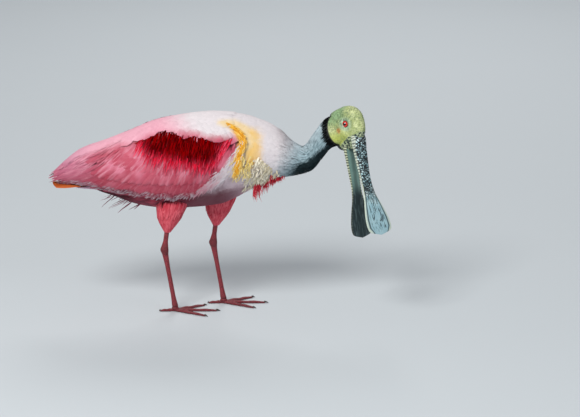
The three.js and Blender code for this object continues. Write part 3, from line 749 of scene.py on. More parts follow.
class Finish:
    """A procedural material, built from nodes"""

    def __init__(self, name):
        self.material = bpy.data.materials.new(name)
        self.material.use_nodes = True
        self.nodes = self.material.node_tree.nodes
        self.nodes.clear()

    def node(self, kind, settings=None, values=None, out=0):
        made = self.nodes.new("ShaderNode" + kind)
        for key, value in (settings or {}).items():
            setattr(made, key, value)
        for key, value in (values or {}).items():
            socket = made.inputs[key]
            if isinstance(value, Wire):
                self.material.node_tree.links.new(value.socket, socket)
            else:
                socket.default_value = value
        return Wire(self, made.outputs[out])

    def mix(self, share, first, second):
        settings = {"data_type": "RGBA", "clamp_factor": True}
        return self.node("Mix", settings, {0: share, 6: first, 7: second}, out=2)

    def over(self, tint, *layers):
        """Tints laid over one another, each with its share"""
        for share, layer in layers:
            tint = self.mix(share, tint, layer)
        return tint

    def vector(self, operation, *values, out=0):
        return self.node("VectorMath", {"operation": operation}, dict(enumerate(values)), out)

    def less(self, vector, start):
        return self.vector("SUBTRACT", vector, tuple(start))

    def dot(self, vector, *ways):
        """How far a vector reaches along each of some ways"""
        return [self.vector("DOT_PRODUCT", vector, tuple(way), out=1) for way in ways]

    def length(self, *xyz):
        return self.vector("LENGTH", self.join(*xyz), out=1)

    def split(self, vector):
        whole = self.node("SeparateXYZ", values={0: vector})
        return [Wire(self, s) for s in whole.socket.node.outputs]

    def join(self, x, y, z):
        return self.node("CombineXYZ", values={0: x, 1: y, 2: z})

    def object_place(self):
        """Where the surface is, in layout millimetres"""
        return self.layout(self.node("TexCoord", out=3))

    def attribute(self, name):
        return self.node("Attribute", {"attribute_name": name}, out=1)

    def layout(self, metres):
        scaled = self.node("VectorMath", {"operation": "SCALE"}, {0: metres, "Scale": 1000})
        return self.less(scaled, SHIFT)

    def noise(self, place, size, detail=2.0, rough=0.5):
        """Noise from 0 to 1 whose blotches are about size across, at a wire or a tuple of three"""
        place = self.join(*place) if isinstance(place, tuple) else place
        values = {"Vector": place, "Scale": 1 / size, "Detail": detail, "Roughness": rough}
        return self.node("TexNoise", None, values)

    def cells(self, place, scale, **more):
        """How far it is to the nearest edge between rounded cells"""
        values = {"Vector": place, "Scale": scale, **more}
        return self.node("TexVoronoi", {"feature": "DISTANCE_TO_EDGE"}, values)

    def profile(self, x, *pairs):
        """A value that follows (place, value) pairs, as a ramp"""
        xs, ys = zip(*pairs)
        low, high = min(ys), max(ys)
        ramp = self.node("ValToRGB", None, {0: (x - xs[0]) / (xs[-1] - xs[0])})
        stops = ramp.socket.node.color_ramp.elements
        while len(stops) < len(pairs):
            stops.new(0.5)
        for stop, (at, value) in zip(stops, pairs):
            grey = (value - low) / (high - low)
            stop.position, stop.color = (at - xs[0]) / (xs[-1] - xs[0]), (grey, grey, grey, 1)
        return ramp * (high - low) + low

    def bump(self, height, depth, strength=1.0):
        return self.node("Bump", None, {"Height": height, "Distance": depth / 1000, "Strength": strength})

    def surface(self, base, rough, normal=None, **fixed):
        values = {"Base Color": base, "Roughness": rough}
        if normal:
            values["Normal"] = normal
        values.update({key.replace("_", " "): value for key, value in fixed.items()})
        shader = self.node("BsdfPrincipled", None, values)
        end = self.nodes.new("ShaderNodeOutputMaterial")
        self.material.node_tree.links.new(shader.socket, end.inputs[0])
        return self.material


WHITE = colour(224, 216, 220)
COOL_SHADE = colour(186, 188, 190)
PALE_PINK = colour(232, 168, 186)
ROSE = colour(196, 88, 108)
ROSE_LIGHT = colour(220, 130, 152)
ROSE_DEEP = colour(166, 60, 78)
WING_TIP = colour(192, 126, 154)
CARMINE = colour(136, 0, 2)
CARMINE_DARK = colour(80, 0, 0)
CARMINE_LIGHT = colour(222, 30, 58)
# The rosy belly darkened to maroon as painted shade
SHADED_BELLY_MAROON = colour(100, 38, 52)
OCHRE = colour(238, 164, 14)
BUTTER = colour(242, 206, 112)
NECK_BLUE = colour(202, 222, 231)
# Dark of the neck's flecks, and of the throat strip, which is partly dark skin and partly painted shade
FLECK_AND_THROAT_SHADE = colour(6, 26, 30)
BLACK = colour(8, 10, 12)
FEATHER_ROUGH = 0.78

# The top of the rose part of the wing, the low edge of the carmine patch in it, and the ridge before it
EDGE = [(-268, 255), (-200, 282), (-150, 300), (-113, 310), (-100, 316), (-82, 326), (-65, 332), (-28, 332),
        (0, 331), (20, 325), (62, 326), (80, 324)]
PATCH_LOW = [(-113, 300), (-95, 288), (-72, 277), (0, 266), (20, 266), (32, 272), (47, 288), (67, 318)]
RIDGE = [(258, 64), (270, 66), (285, 68), (298, 71), (309, 74.5), (318, 75), (326, 70.5), (333, 62), (339, 50),
         (343, 40)]
edge_z, patch_low_z = through(*EDGE), through(*PATCH_LOW)


def nape_band(f, place):
    """How far above the nape's edge a place is"""
    return f.dot(place, NAPE_WAY)[0] - NAPE_LEVEL


def rose_wing(f, place, x, z, wobble, patch):
    """The colours of the rose part of the wing, with streaks along its feathers"""
    rose = f.over(
        f.mix(f.noise(place, 40, 2).ease(0.35, 0.7), ROSE, ROSE_DEEP),
        ((x.near(-130, 60) * 0.4 + 0.5) * f.noise(place, 26, 2).ease(0.45, 0.7), ROSE_LIGHT),
        (x.ease(-150, -235) * 0.75, WING_TIP),
    )
    for low, high, angle in ((-340, -170, 0.42), (-240, -70, 0.8), (-90, 40, 1.25)):
        down = x * math.cos(angle) + z * math.sin(angle)
        across = x * math.sin(angle) - z * math.cos(angle)
        streak = f.noise((down * 0.14, 0.0, across), 5.5, 3, 0.6).ease(0.46, 0.68)
        rose = f.mix(streak * x.ease(low, low + 50) * x.ease(high, high - 40) * 0.5, rose, PALE_PINK)
    front = ((x - 56) * 0.8 - (z - 290) * 0.6 + wobble * 0.8).ease(-9, 9) * z.ease(304, 292)
    # Deeper rose toward the wing's lower edge is painted shade
    rose = f.over(rose, (z.ease(276, 238) * 0.6, ROSE_DEEP), (front * 0.85, colour(216, 202, 210)))
    if not patch:
        return rose
    deep = (z - f.profile(x, *PATCH_LOW) + wobble * 0.4).ease(8, 24) * x.ease(-114, -98) * x.ease(68, 58)
    return f.mix(deep, rose, CARMINE)


def plumage(f, place, patch=False):
    """The colours of the feathered skin at a place in the layout, with the carmine patch or without it"""
    x, y, z = f.split(place)
    blotch, fine = f.noise(place, 22, 3), f.noise(place, 5, 2)
    wobble = (blotch - 0.5) * 16 + (fine - 0.5) * 6
    out = abs(y)
    # Pale pink over the back behind the shoulders, and rose on the wings
    under_edge = (f.profile(x, *EDGE) - z + wobble * 0.5).ease(-6, 8)
    on_wing = (out + x.ease(-90, -190) * 34).ease(20, 44) * x.ease(84, 62)
    tint = f.over(
        f.mix((fine - 0.35) * 0.4, WHITE, COOL_SHADE),
        ((x + (z - 345) * 0.9 + wobble).ease(6, -78) * 0.95, PALE_PINK),
        ((x + wobble).ease(-150, -250) * 0.6, WING_TIP),
        (under_edge * on_wing, rose_wing(f, place, x, z, wobble, patch)),
    )
    # Belly and flanks, darkened as painted shade under the body: maroon over the rosy belly, greyed pink low on the
    # breast, and near black at the rear as painted shadow under the wing
    low_edge = f.profile(x, (-200, 227), (-150, 226), (-100, 222), (0, 222), (40, 232), (90, 236))
    belly = (low_edge - z + wobble).ease(-10, 14)
    streaked = f.noise((x * 0.4, y, z), 5, 2).ease(0.4, 0.65) * x.near(-80, 60)
    tint = f.over(
        tint,
        (belly * x.ease(104, 50) * 0.9, f.mix(streaked, SHADED_BELLY_MAROON, ROSE_DEEP)),
        (belly * x.near(96, 60) * 0.4, colour(150, 118, 132)),
        (belly * x.ease(-84, -140) * 0.75, colour(58, 24, 34)),
    )
    # Yellow at the bend of the wing
    off_ridge = x - f.profile(z, *RIDGE)
    shoulder = out.ease(16, 34)
    glow = (off_ridge - 14 + wobble * 0.5).near(0, 26) * z.ease(258, 268) * z.ease(350, 343) * out.ease(10, 34)
    crest = (off_ridge + wobble * 0.2).near(0, 9) * z.ease(258, 274) * z.ease(336, 326)
    second = (x + wobble * 1.1).near(99, 21) * z.ease(256, 280) * z.ease(338, 322)
    tint = f.over(
        tint,
        (glow * 0.62, BUTTER),
        (crest * shoulder * 0.95, OCHRE),
        (second * shoulder * blotch.ease(0.3, 0.62) * 0.7, f.mix(0.4, BUTTER, OCHRE)),
    )
    # Neck, with its dark flecks, a darker blue-grey underside that is painted shade, a near-black throat strip that is
    # partly dark skin and partly painted shade, and black nape
    neck = (x - (z - 270) * 0.5).ease(122, 188)
    flecked = f.noise((x * 0.5, y, z), 3.0, 3, 0.7).ease(0.5, 0.6)
    low_side = f.profile(x, (130, 225), (165, 262), (190, 280), (214, 305), (250, 330)) - z
    throat = (low_side + wobble * 0.8).ease(-4, 8) * x.ease(154, 174)
    behind = f.dot(place, BILL_WAY)[0] - float(HEAD_AT @ BILL_WAY)
    nape = nape_band(f, place) + behind.ease(-6, -28) * 6 + 4.5 + wobble * 0.2
    return f.over(
        tint,
        (neck, f.mix((fine - 0.3) * 0.9, NECK_BLUE, colour(140, 164, 172))),
        (flecked * neck * (low_side.ease(-34, 2) * 0.8 + 0.06), FLECK_AND_THROAT_SHADE),
        ((low_side + wobble * 0.6).ease(-42, -2) * neck * 0.6, colour(124, 156, 166)),
        (throat * 0.96, FLECK_AND_THROAT_SHADE),
        (nape.ease(-2, 1.5) * x.ease(205, 218), BLACK),
    )


def head_colours(f, place):
    """The bare skin's colours, and two noises of its relief"""
    x, y, z = f.dot(f.less(place, HEAD_AT), *HEAD_WAYS)
    side = abs(y)
    blotch, fine = f.noise(place, 9, 3), f.noise(place, 2.2, 3)
    wobble = (blotch - 0.5) * 14
    round_eye = f.length(x, side - 15, z - 1)
    spot = f.length(x - 8, (side - 19) * 0.7, z + 13)
    creases = f.noise((x * 0.5, y, z * 1.6 + x * 0.5), 3.2, 3).ease(0.36, 0.5)
    push = f.vector("MULTIPLY", f.join(blotch, fine, blotch), (6, 6, 6))
    cracks = f.cells(f.vector("ADD", f.join(x, y, z * 0.8), push), 0.2)
    wrinkled = (x + wobble).ease(14, -4) * z.ease(20, 2) * 0.7 + 0.14
    rim = (x - f.profile(z, (-56, 36), (-22, 29), (-2, 22), (26, 19)) + wobble * 0.2).ease(-1, 2)
    flecked = f.noise((x * 1.5, y, z), 3.4, 3, 0.65).ease(0.46, 0.56)
    tint = f.over(
        f.mix(blotch.ease(0.35, 0.65), colour(168, 180, 116), colour(208, 216, 158)),
        ((x + wobble).ease(2, 20) * z.ease(4, -10), colour(186, 196, 98)),
        ((x + wobble).ease(0, -16) * z.ease(8, -6), colour(152, 186, 138)),
        (round_eye.ease(15, 9) * 0.75, colour(176, 204, 184)),
        ((spot + wobble * 0.5).ease(7.5, 3) * 0.8, colour(206, 120, 52)),
        # Dark in the creases and in the cracks of the wrinkled skin is painted shade
        ((1 - creases) * (x.ease(8, -8) * 0.6 + 0.16), colour(70, 96, 66)),
        (fine.ease(0.62, 0.72) * 0.35, colour(96, 112, 60)),
        ((1 - cracks.ease(0.0, 0.1)) * wrinkled * blotch.ease(0.38, 0.52), colour(62, 82, 50)),
        (f.noise(place, 3.2, 4, 0.72).ease(0.5, 0.62) * 0.5, colour(92, 104, 62)),
        (f.noise(place, 1.6, 3, 0.7).ease(0.56, 0.7) * 0.5, colour(224, 234, 196)),
        (f.noise(place, 14, 3).ease(0.42, 0.62) * 0.3, colour(126, 150, 98)),
        (rim, f.mix(flecked, colour(36, 52, 50), colour(176, 190, 150))),
    )
    return tint, fine, creases


def skin_finish():
    f = Finish("skin")
    place = f.object_place()
    x, _, z = f.split(place)
    bare, fine, creases = head_colours(f, place)
    on_head = nape_band(f, place).ease(-1.0, 1.5) * x.ease(205, 215)
    on_leg = z.ease(SOFT_Z, SOFT_Z - 10)
    scales = f.cells(place, 0.42)
    leg = f.over(
        f.mix(fine, colour(168, 62, 72), colour(134, 44, 54)),
        (1 - scales.ease(0.02, 0.12), colour(74, 26, 32)),
        (z.near(ANKLE_Z, 14) * 0.5, colour(84, 36, 40)),
        (z.ease(24, 6) * 0.35, colour(70, 40, 42)),
    )
    tint = f.over(plumage(f, place, True), (on_head, bare), (on_leg, leg))
    relief = (fine * 0.5 + creases * 0.5) * (1 - on_leg) + scales.least(0.2) * 3.0 * on_leg
    return f.surface(tint, 0.58 - on_head * 0.06, f.bump(relief, 0.7, 0.8), Specular_IOR_Level=0.35)


def feather_finish(name, paint, barb=0.9, barb_depth=0.12, spread=0.16, gloss=0.08, fade=0.06):
    """Feathers painted by where their roots are, with barbs and a tone of their own"""
    f = Finish(name)
    own, along, across = f.split(f.attribute("tone"))
    u, v, _ = f.split(f.node("UVMap", {"uv_map": "vane"}))
    barbs = ((v - abs(u) * 1.1) * (1000 * 2 * PI / barb) + own * 6).sine() * 0.5 + 0.5
    ragged = f.noise((u, v * 0.15, own), barb / 1000 * 1.3, 2)
    tint = paint(f, f.layout(f.attribute("root")), own, along, across)
    low, high = (f.node("HueSaturation", None, {"Value": value, "Saturation": saturation, "Color": tint})
                 for value, saturation in ((1 - spread * 1.5, 1 + fade), (1 + spread * 0.5, 1 - fade)))
    # Each feather darkens toward its root, as painted shade where the next feathers cover it
    share = own * 0.45 + ragged * 0.35 + barbs * 0.14 + along * 0.12 - 0.03
    height = barbs * 0.5 + ragged * 0.5 - abs(across) * 0.2
    return f.surface(f.mix(share, low, high), FEATHER_ROUGH, f.bump(height, barb_depth, 0.7), Specular_IOR_Level=gloss)


# Paints for feathers, by their roots, a tone of each feather's own, and the places along and across it

def root_paint(f, root, own, along, across):
    return plumage(f, root)


def smooth_paint(f, root, own, along, across):
    return plumage(f, f.mix(0.3, f.object_place(), root))


def wing_colours(f, root, own, along, across):
    return plumage(f, f.mix(0.3, f.object_place(), root), True)


def hem_paint(f, root, own, along, across):
    x = f.split(root)[0]
    # Pale feather tips, greyed as painted shade under the wing
    grey = f.mix(own * 0.7 + x.ease(-60, 10) * 0.3, colour(168, 130, 146), colour(216, 200, 206))
    return f.mix(along.ease(0.25, 0.85) * 0.85, plumage(f, f.object_place()), grey)


def edge_paint(f, root, own, along, across):
    x = f.split(root)[0]
    pink = (x - 44 + (own - 0.5) * 22).ease(8, -30) * (0.3 + along.ease(0.2, 0.7) * 0.5)
    return f.mix(pink, f.mix(own, colour(226, 216, 220), colour(196, 186, 194)), colour(206, 120, 140))


def carmine_paint(f, root, own, along, across):
    x, _, z = f.split(root)
    blotch = f.noise(root, 12, 2)
    low = f.profile(x, *PATCH_LOW) + 30 - z + (blotch - 0.5) * 10
    fringe = low.ease(-8, 12) * 0.9 + x.ease(-74, -104) * 0.6 + x.ease(20, 60) * 0.3
    return f.over(
        f.mix((own * 0.6 + blotch * 0.7).ease(0.45, 0.95), CARMINE_DARK, CARMINE),
        ((fringe * (0.4 + own * 0.8)).least(1), CARMINE_LIGHT),
        (along.ease(0.45, 1.0) * (fringe * 0.85 + 0.02), colour(238, 92, 120)),
    )


def ridge_paint(f, root, own, along, across):
    x, _, z = f.split(root)
    off = abs(x - f.profile(z, *RIDGE)) / 5.5 + (own - 0.5) * 0.5
    return f.mix(off.ease(0.3, 1.1) * 0.8, f.mix(own, colour(214, 134, 6), colour(246, 184, 34)), BUTTER)


def tail_paint(f, root, own, along, across):
    tint = f.mix(own * 0.5 + along * 0.4, colour(160, 60, 18), colour(206, 104, 34))
    return f.mix(abs(across).ease(0.25, 0.02) * 0.35, tint, colour(128, 46, 20))


def single_paint(first, second):
    return lambda f, root, own, along, across: f.mix(own * 0.6 + along * 0.35, colour(*first), colour(*second))


def upper_horn(f, tint, x, y, z, edge, _, fine, warp):
    """Black wrinkles over the base, flecks on the spoon, a notched rim and the nostrils"""
    pebble = f.cells(f.join((x + warp * 0.8 + edge * edge * 2.2) * 0.31, y * 0.21, 0.0), 1.0, Randomness=0.75)
    broken = f.noise((x * 0.5, y, z), 4.5, 3)
    furrow = (1 - pebble.ease(0.1, 0.24)) * broken.ease(0.26, 0.4)
    basal = x.ease(148, 116)
    streak = f.noise((x * 0.22, y, z), 2.6, 3, 0.6).ease(0.52, 0.6)
    notches = (x * (2 * PI / 5.0) + warp).sine().ease(0.1, 0.7) * x.ease(120, 90) * 0.8
    nostril = f.length((x - 39) * 0.32, abs(y) - 5.2, (z - 10) * 0.1)
    tint = f.over(
        tint,
        (furrow * basal * 0.97, colour(10, 16, 20)),
        (streak * edge.ease(0.8, 0.45) * x.ease(104, 132) * x.ease(198, 186) * 0.95, colour(20, 38, 46)),
        (edge.near(0.8, 0.1) * x.ease(100, 130) * 0.85, colour(36, 48, 50)),
        (edge.ease(0.84, 0.93) * 0.8, f.mix(notches, colour(208, 216, 196), colour(60, 72, 70))),
        (nostril.ease(2.2, 1.2), BLACK),
    )
    return tint, pebble.least(0.3) * 3 * basal + fine * 0.3


def lower_horn(f, _, x, y, z, edge, blotch, fine, warp):
    """The lower mandible, which shows its hollow inner side and its notched edge"""
    wall = (-1.0 * z - f.profile(x, (22, 14), (82, 11.7), (120, 8.5), (197, 4))).ease(0.5, 2.2)
    fine_lines = f.noise((x * 0.12, y, z), 2.2, 2).ease(0.5, 0.66)
    # The inner side darkens toward the spoon and toward its middle: wet horn with painted shadow of the upper mandible
    inner = f.over(
        f.mix(blotch, colour(104, 142, 136), colour(150, 182, 172)),
        (x.ease(96, 126), f.mix(fine, colour(20, 30, 34), colour(58, 74, 78))),
        (fine_lines * x.ease(90, 120) * 0.45, colour(118, 138, 140)),
        (edge.ease(0.5, 0.1) * 0.45, colour(26, 44, 46)),
    )
    notches = ((x + warp) * (2 * PI / 4.6)).sine().ease(-0.2, 0.5)
    outer = f.over(
        f.mix(notches * 0.9, colour(204, 212, 180), colour(14, 20, 22)),
        (x.ease(108, 140) * 0.85, colour(34, 44, 48)),
    )
    return f.mix(edge.ease(0.72, 0.82).most(wall), inner, outer), notches * edge.ease(0.6, 0.8) + fine * 0.3


def bill_finish(name, opening, horn):
    """Horn, coloured by horn along and across a mandible that is turned open"""
    f = Finish(name)
    place = f.object_place()
    along = math.cos(opening) * BILL_WAY - math.sin(opening) * CROWN_WAY
    outward = math.sin(opening) * BILL_WAY + math.cos(opening) * CROWN_WAY
    x, y, z = f.dot(f.less(place, from_head(GAPE)), along, HEAD_LEFT, outward)
    x, z = x + float(GAPE[0]), z + float(GAPE[2])
    blotch, fine = f.noise(place, 12, 3), f.noise(place, 2.0, 3, 0.65)
    half = f.profile(x, (18, 12), (45, 15), (92, 12), (112, 12), (130, 14.5), (150, 21), (171, 26.5), (186, 27),
                     (200, 16))
    tint = f.over(
        f.mix(blotch.ease(0.35, 0.68), colour(150, 192, 200), colour(214, 236, 238)),
        (x.ease(118, 160), f.mix(blotch, colour(128, 172, 186), colour(186, 216, 222))),
    )
    tint, height = horn(f, tint, x, y, z, abs(y) / half, blotch, fine, (f.noise(place, 6, 2) - 0.5) * 5)
    tint = f.mix(fine.ease(0.6, 0.75) * 0.3, tint, colour(96, 112, 110))
    return f.surface(tint, 0.4 + fine * 0.2, f.bump(height, 0.7, 0.8), Specular_IOR_Level=0.4)


def eye_finish(side):
    f = Finish(f"eye_{SIDES[side]}")
    away = f.less(f.object_place(), from_head(eye_at(side)))
    along = f.dot(away, eye_way(side) @ HEAD_WAYS)[0]
    flat = f.vector("LENGTH", away, out=1)
    far = ((flat * flat - along * along).most(0.0)) ** 0.5
    streaks = f.noise(f.vector("NORMALIZE", away), 0.05, 2)
    tint = f.over(
        f.mix(far.ease(2.9, 5.6), colour(232, 50, 18), colour(176, 12, 8)),
        (streaks.ease(0.4, 0.7) * 0.4, colour(120, 4, 6)),
        (far.ease(3.1, 2.7), BLACK),
        (far.ease(5.1, 5.8), colour(24, 6, 6)),
    )
    return f.surface(tint, 0.12, None, Specular_IOR_Level=0.5, Coat_Weight=1.0, Coat_Roughness=0.02)


def claw_finish():
    f = Finish("claw")
    fine = f.noise(f.object_place(), 2.5, 3)
    return f.surface(f.mix(fine, colour(38, 30, 30), colour(74, 58, 54)), 0.35, f.bump(fine, 0.15),
                     Specular_IOR_Level=0.5)


def floor_finish():
    f = Finish("floor")
    fine = f.noise(f.node("TexCoord", out=3), 0.4, 3)
    return f.surface(f.mix(fine * 0.25, colour(196, 203, 208), colour(188, 196, 202)), 0.8)


# Pieces

def dressed(piece, finish, slot, *nodes):
    piece.data.materials.clear()
    piece.data.materials.append(finish)
    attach(piece, "root")
    if nodes:
        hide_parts(*nodes)


ground = bmesh.new()
bmesh.ops.create_grid(ground, x_segments=8, y_segments=8, size=14)
floor = placed("floor", bpy.data.meshes.new("floor"))
ground.to_mesh(floor.data)
ground.free()
floor.data.materials.append(floor_finish())

FLESH = ("torso", "neck_lower", "neck_upper", "head", "thigh_right", "thigh_left",
         "shank_right", "shank_left", "foot_right", "foot_left")
dressed(skin(), skin_finish(), "white_plumage", *FLESH)


def eyeball(side):
    def place(t, turn):
        size = np.sin(PI * t)
        ball = np.stack([size * np.cos(turn), size * np.sin(turn), np.cos(PI * t)], axis=1)
        return from_eye(ball * (EYE_RADIUS + 0.35 * bump_at(t, 0, 0.17))[:, None], side)

    return place


for side, word in SIDES.items():
    dressed(form(f"eyeball_{word}", 48, 40, eyeball(side)), eye_finish(side), "eye", f"eye_{word}")

# Bill
UPPER = dict(
    ends=(18, 200), outer=1,
    half=through((18, 12), (29, 15.5), (45, 15), (70, 13.5), (92, 12), (112, 12), (130, 14.5), (150, 21), (171, 26.5),
                 (186, 27), (194, 22), (200, 0)),
    middle=through((18, 4), (29, 4), (50, 1), (94, -3), (120, -3), (150, -1), (174, 0.5), (200, 2)),
    rise=through((18, 8), (29, 11), (50, 8.5), (94, 5), (130, 3), (165, 2), (192, 1.4), (200, 0.6)),
)
LOWER = dict(
    ends=(22, 197), outer=-1,
    half=through((22, 12), (34, 14), (82, 12), (108, 11), (130, 13.5), (150, 19), (172, 23.5), (186, 23), (192, 18),
                 (197, 0)),
    middle=through((22, -14), (34, -14.7), (82, -11.7), (120, -8.5), (184, -4.6), (197, -4)),
    rise=through((22, 8), (34, 12), (55, 9.5), (82, 7), (110, 4.4), (130, 2.8), (165, 2), (197, 0.6)),
)


def mandible(sizes, opening=0.0):
    """A spoon with a wrinkled outer side, turned open about the gape"""
    outer = sizes["outer"]
    cos, sin = math.cos(opening), math.sin(opening)

    def place(t, turn):
        x = lerp(*sizes["ends"], lerp(t, (1 - np.cos(PI * t)) / 2, 0.55))
        end = np.where((t == 0) | (t == 1), 0.0, 1.0)
        w, h = np.maximum(0.6, sizes["half"](x)), sizes["rise"](x)
        y, out = w * np.sin(turn), np.cos(turn) * outer
        bend = 2.2 * (y / w) ** 2 + 3 * (grain(x / 9, y / 5, 1) - 0.5)
        fade = np.maximum(0, 1 - np.abs((x - 78) / 60) ** 3)
        ribs = fade * (0.42 * wave(x + bend, 5.4) + 0.25 * wave(x, 13))
        rim = 0.5 * bump_at(np.abs(np.sin(turn)), 0.84, 0.06) * ease(x, 60, 90)
        nostril = 1.5 * bump_at(np.abs(y), 5.2, 1.1) * np.exp(-(((x - 39) / 5) ** 4)) * (outer > 0)
        pits = 0.3 * (grain(x / 2.3, y / 2.3, 7) - 0.5)
        relief = (ribs - rim - nostril + pits) * np.maximum(0, out) ** 0.5 * np.minimum(1, h / 3)
        high = np.where(out > 0, h + relief, h * 0.25)
        away = np.stack([x, end * y, sizes["middle"](x) + end * outer * out * high], axis=1) - GAPE
        return from_head(away @ np.array([[cos, 0, -sin], [0, 1, 0], [sin, 0, cos]]) + GAPE)

    return place


upper = form("upper_mandible", 72, 260, mandible(UPPER))
lower = form("lower_mandible", 56, 200, mandible(LOWER, BILL_OPEN))
dressed(upper, bill_finish("upper bill", 0.0, upper_horn), "bill_horn", "bill_upper")
dressed(lower, bill_finish("lower bill", BILL_OPEN, lower_horn), "bill_horn", "bill_lower")

claw = claw_finish()
for word, leg in LEGS.items():
    for i, (length, angle, _) in enumerate(TOES, 1):
        dressed(form(f"claw_{word}_{i}", 16, 20, claw_place(leg["foot"], length, angle)), claw, "leg_skin")


# Coat of the body and neck

def over_skin(rise):
    """A surface this far over the trunk's skin"""
    return lambda a, turn, lift: trunk(a, turn, lift - SKIN_INSET + rise)


body_paint = feather_finish("body feathers", smooth_paint, barb=1.3, barb_depth=0.08, spread=0.07)
fine_paint = feather_finish("neck feathers", root_paint, barb=0.9, spread=0.2)
size_of = through((-200, 17), (-60, 20), (40, 17), (100, 13), (160, 10), (265, 7.5))
width_of = through((-200, 6.5), (-60, 7.5), (40, 7), (100, 5.0), (150, 2.6), (265, 1.5))
tip_of = through((-200, 0.8), (40, 0.7), (62, 3.0), (84, 3.0), (112, 0.5), (150, 0.9), (265, 1.5))
for name, first_x, last_x, step in (("back_and_belly_feathers", -190, 62, 6.0), ("breast_feathers", 62, 150, 4.2)):
    a, b = trunk_roots(first_x, last_x, step, step)
    x, y, z = trunk(a, b).T
    under_wing = (x < 70) & (z < on_folded(x, np.radians(wing_top_turn(x)))[:, 2] - 12)
    shown = ~(under_wing & (z > wing_low_z(x) + 14) & (np.abs(y) > 15))
    a, b, x = a[shown], b[shown], x[shown]
    n = len(a)
    reach = size_of(x) * rng.uniform(0.85, 1.15, n) * (1 + 0.35 * ease(-np.cos(b), 0.2, 0.8))
    end = headed(trunk, a, b, rng.normal(0, 0.13, n), reach)
    half, tip = width_of(x) * rng.uniform(0.85, 1.15, n), tip_of(x) + rng.uniform(-0.2, 0.2, n)
    piece = coat(name, over_skin(1.3), (a, b), end, half, tip, sink=0.7, thick=0.3, camber=0.3)
    dressed(piece, body_paint, "white_plumage")

a, b = trunk_roots(146, None, 2.5, 2.6, 48, (0.4, 0.4))
below_nape = trunk(a, b) @ NAPE_WAY < NAPE_LEVEL - 0.5
a, b = a[below_nape], b[below_nape]
n = len(a)
reach = rng.uniform(7.5, 11.5, n)
end = headed(trunk, a, b, rng.normal(0, 0.2, n), reach)
piece = coat("neck_feathers", over_skin(1.3), (a, b), end, rng.uniform(0.9, 1.5, n), rng.uniform(0.9, 2.0, n),
             sink=0.8, shape=plume_width)
dressed(piece, fine_paint, "white_plumage")

# Coat of the wings
wing_paint = feather_finish("wing feathers", wing_colours, barb=1.6, spread=0.1, gloss=0.12)
strand_paint = feather_finish("wing barbs", wing_colours, barb=1.0, spread=0.1)
carmine_finish = feather_finish("carmine plumes", carmine_paint, barb=0.8, spread=0.25, gloss=0.0, fade=0.0)
hem_finish = feather_finish("wing hem", hem_paint)
ochre_finish = feather_finish("ochre ridge", ridge_paint, barb=0.8)
butter_finish = feather_finish("yellow curls", single_paint((226, 190, 84), (246, 232, 178)), barb=0.8)
edge_finish = feather_finish("white fringe", edge_paint)


def row(count, first, last, half, tip, arch_root=0.0, arch_tip=0.0, jitter=0.0):
    """A row of wing feathers between its first and last, each (root x, root z, tip x, tip z) seen from the side"""
    t = np.linspace(0, 1, count)
    spots = np.stack([lerp(a, b, t) for a, b in zip(first, last)])
    spots -= np.outer([0, arch_root, 0, arch_tip], 4 * t * (1 - t))
    rx, rz, tx, tz = spots + rng.uniform(-jitter, jitter, (4, count))
    return np.stack([rx, turn_at(rx, rz), tx, turn_at(tx, tz), lerp(*half, t), lerp(*tip, t)])


WING_ROWS = [
    ("flight_feathers", dict(rings=10, across=8, thick=0.8, camber=0.9, bend=0.03), [
        row(7, (-150, 250, -228, 230), (-188, 268, -263, 236.5), (10, 9), (0.2, 1.2)),
        row(20, (20, 256, 11, 228), (-148, 256, -212, 231), (9, 10), (0.2, 0.8), 8, 17, 1.2),
        row(17, (36, 284, 25, 246), (-128, 288, -186, 250), (9, 10.5), (1.6, 1.9), 0, 10, 1.2),
    ]),
    ("wing_coverts", dict(rings=8, across=6, thick=0.7, camber=0.8, bend=0.03), [
        row(20, (44, 296, 34, 262), (-110, 300, -158, 272), (8, 9), (2.3, 2.5), 0, 10, 1.5),
        row(22, (52, 306, 42, 278), (-96, 308, -136, 288), (7, 8), (2.8, 3.0), 0, 8, 1.5),
    ]),
    ("scapulars", dict(rings=8, across=6, thick=0.7, camber=0.6, bend=-0.03, sink=1.0), [
        row(16, (44, 333, 14, 322), (-160, 290, -232, 260), (7, 10), (2.2, 0.9), -6, -6, 1.5),
        row(16, (50, 338, 20, 329), (-158, 296, -236, 266), (7, 10), (2.5, 1.1), -8, -9, 1.5),
        row(14, (54, 342, 26, 335), (-150, 300, -222, 276), (7, 10), (2.8, 1.3), -8, -10, 1.5),
    ]),
]
patch_angle = through((-115, 0.95), (-80, 1.15), (-40, 1.36), (10, 1.42), (36, 1.22), (66, 1.0))
steepness = through((-260, 0.35), (-200, 0.42), (-150, 0.62), (-100, 0.88), (-40, 1.2), (20, 1.3), (80, 1.25))


def wing_angle(x, z):
    """The lie of the wing's barbs: 0 back, a quarter turn down"""
    return lerp(steepness(x), 0.35, ease(z - edge_z(x), -12, 6))


def ridge_x(z):
    return np.interp(z, *zip(*RIDGE))


def wing_spots(step, low_x, high_x, top, low):
    """Jittered even spots on the wing's side between two heights"""
    x, z = (v.ravel() for v in np.meshgrid(np.arange(low_x, high_x, step), np.arange(200, 350, step)))
    x = x + rng.uniform(-0.6, 0.6, len(x)) * step
    z = z + rng.uniform(-0.6, 0.6, len(z)) * step
    keep = (z < top(x)) & (z > low(x)) & (z < folded_top(x) - 4)
    return x[keep], z[keep]


def lay(name, finish, slot, side, x, z, angle, reach, half, tip, **more):
    """A coat of feathers whose roots are seen at x and z from the side"""
    start = (x, turn_at(x, z))
    dressed(coat(name, side, start, headed(side, *start, angle, reach), half, tip, **more), finish, slot)


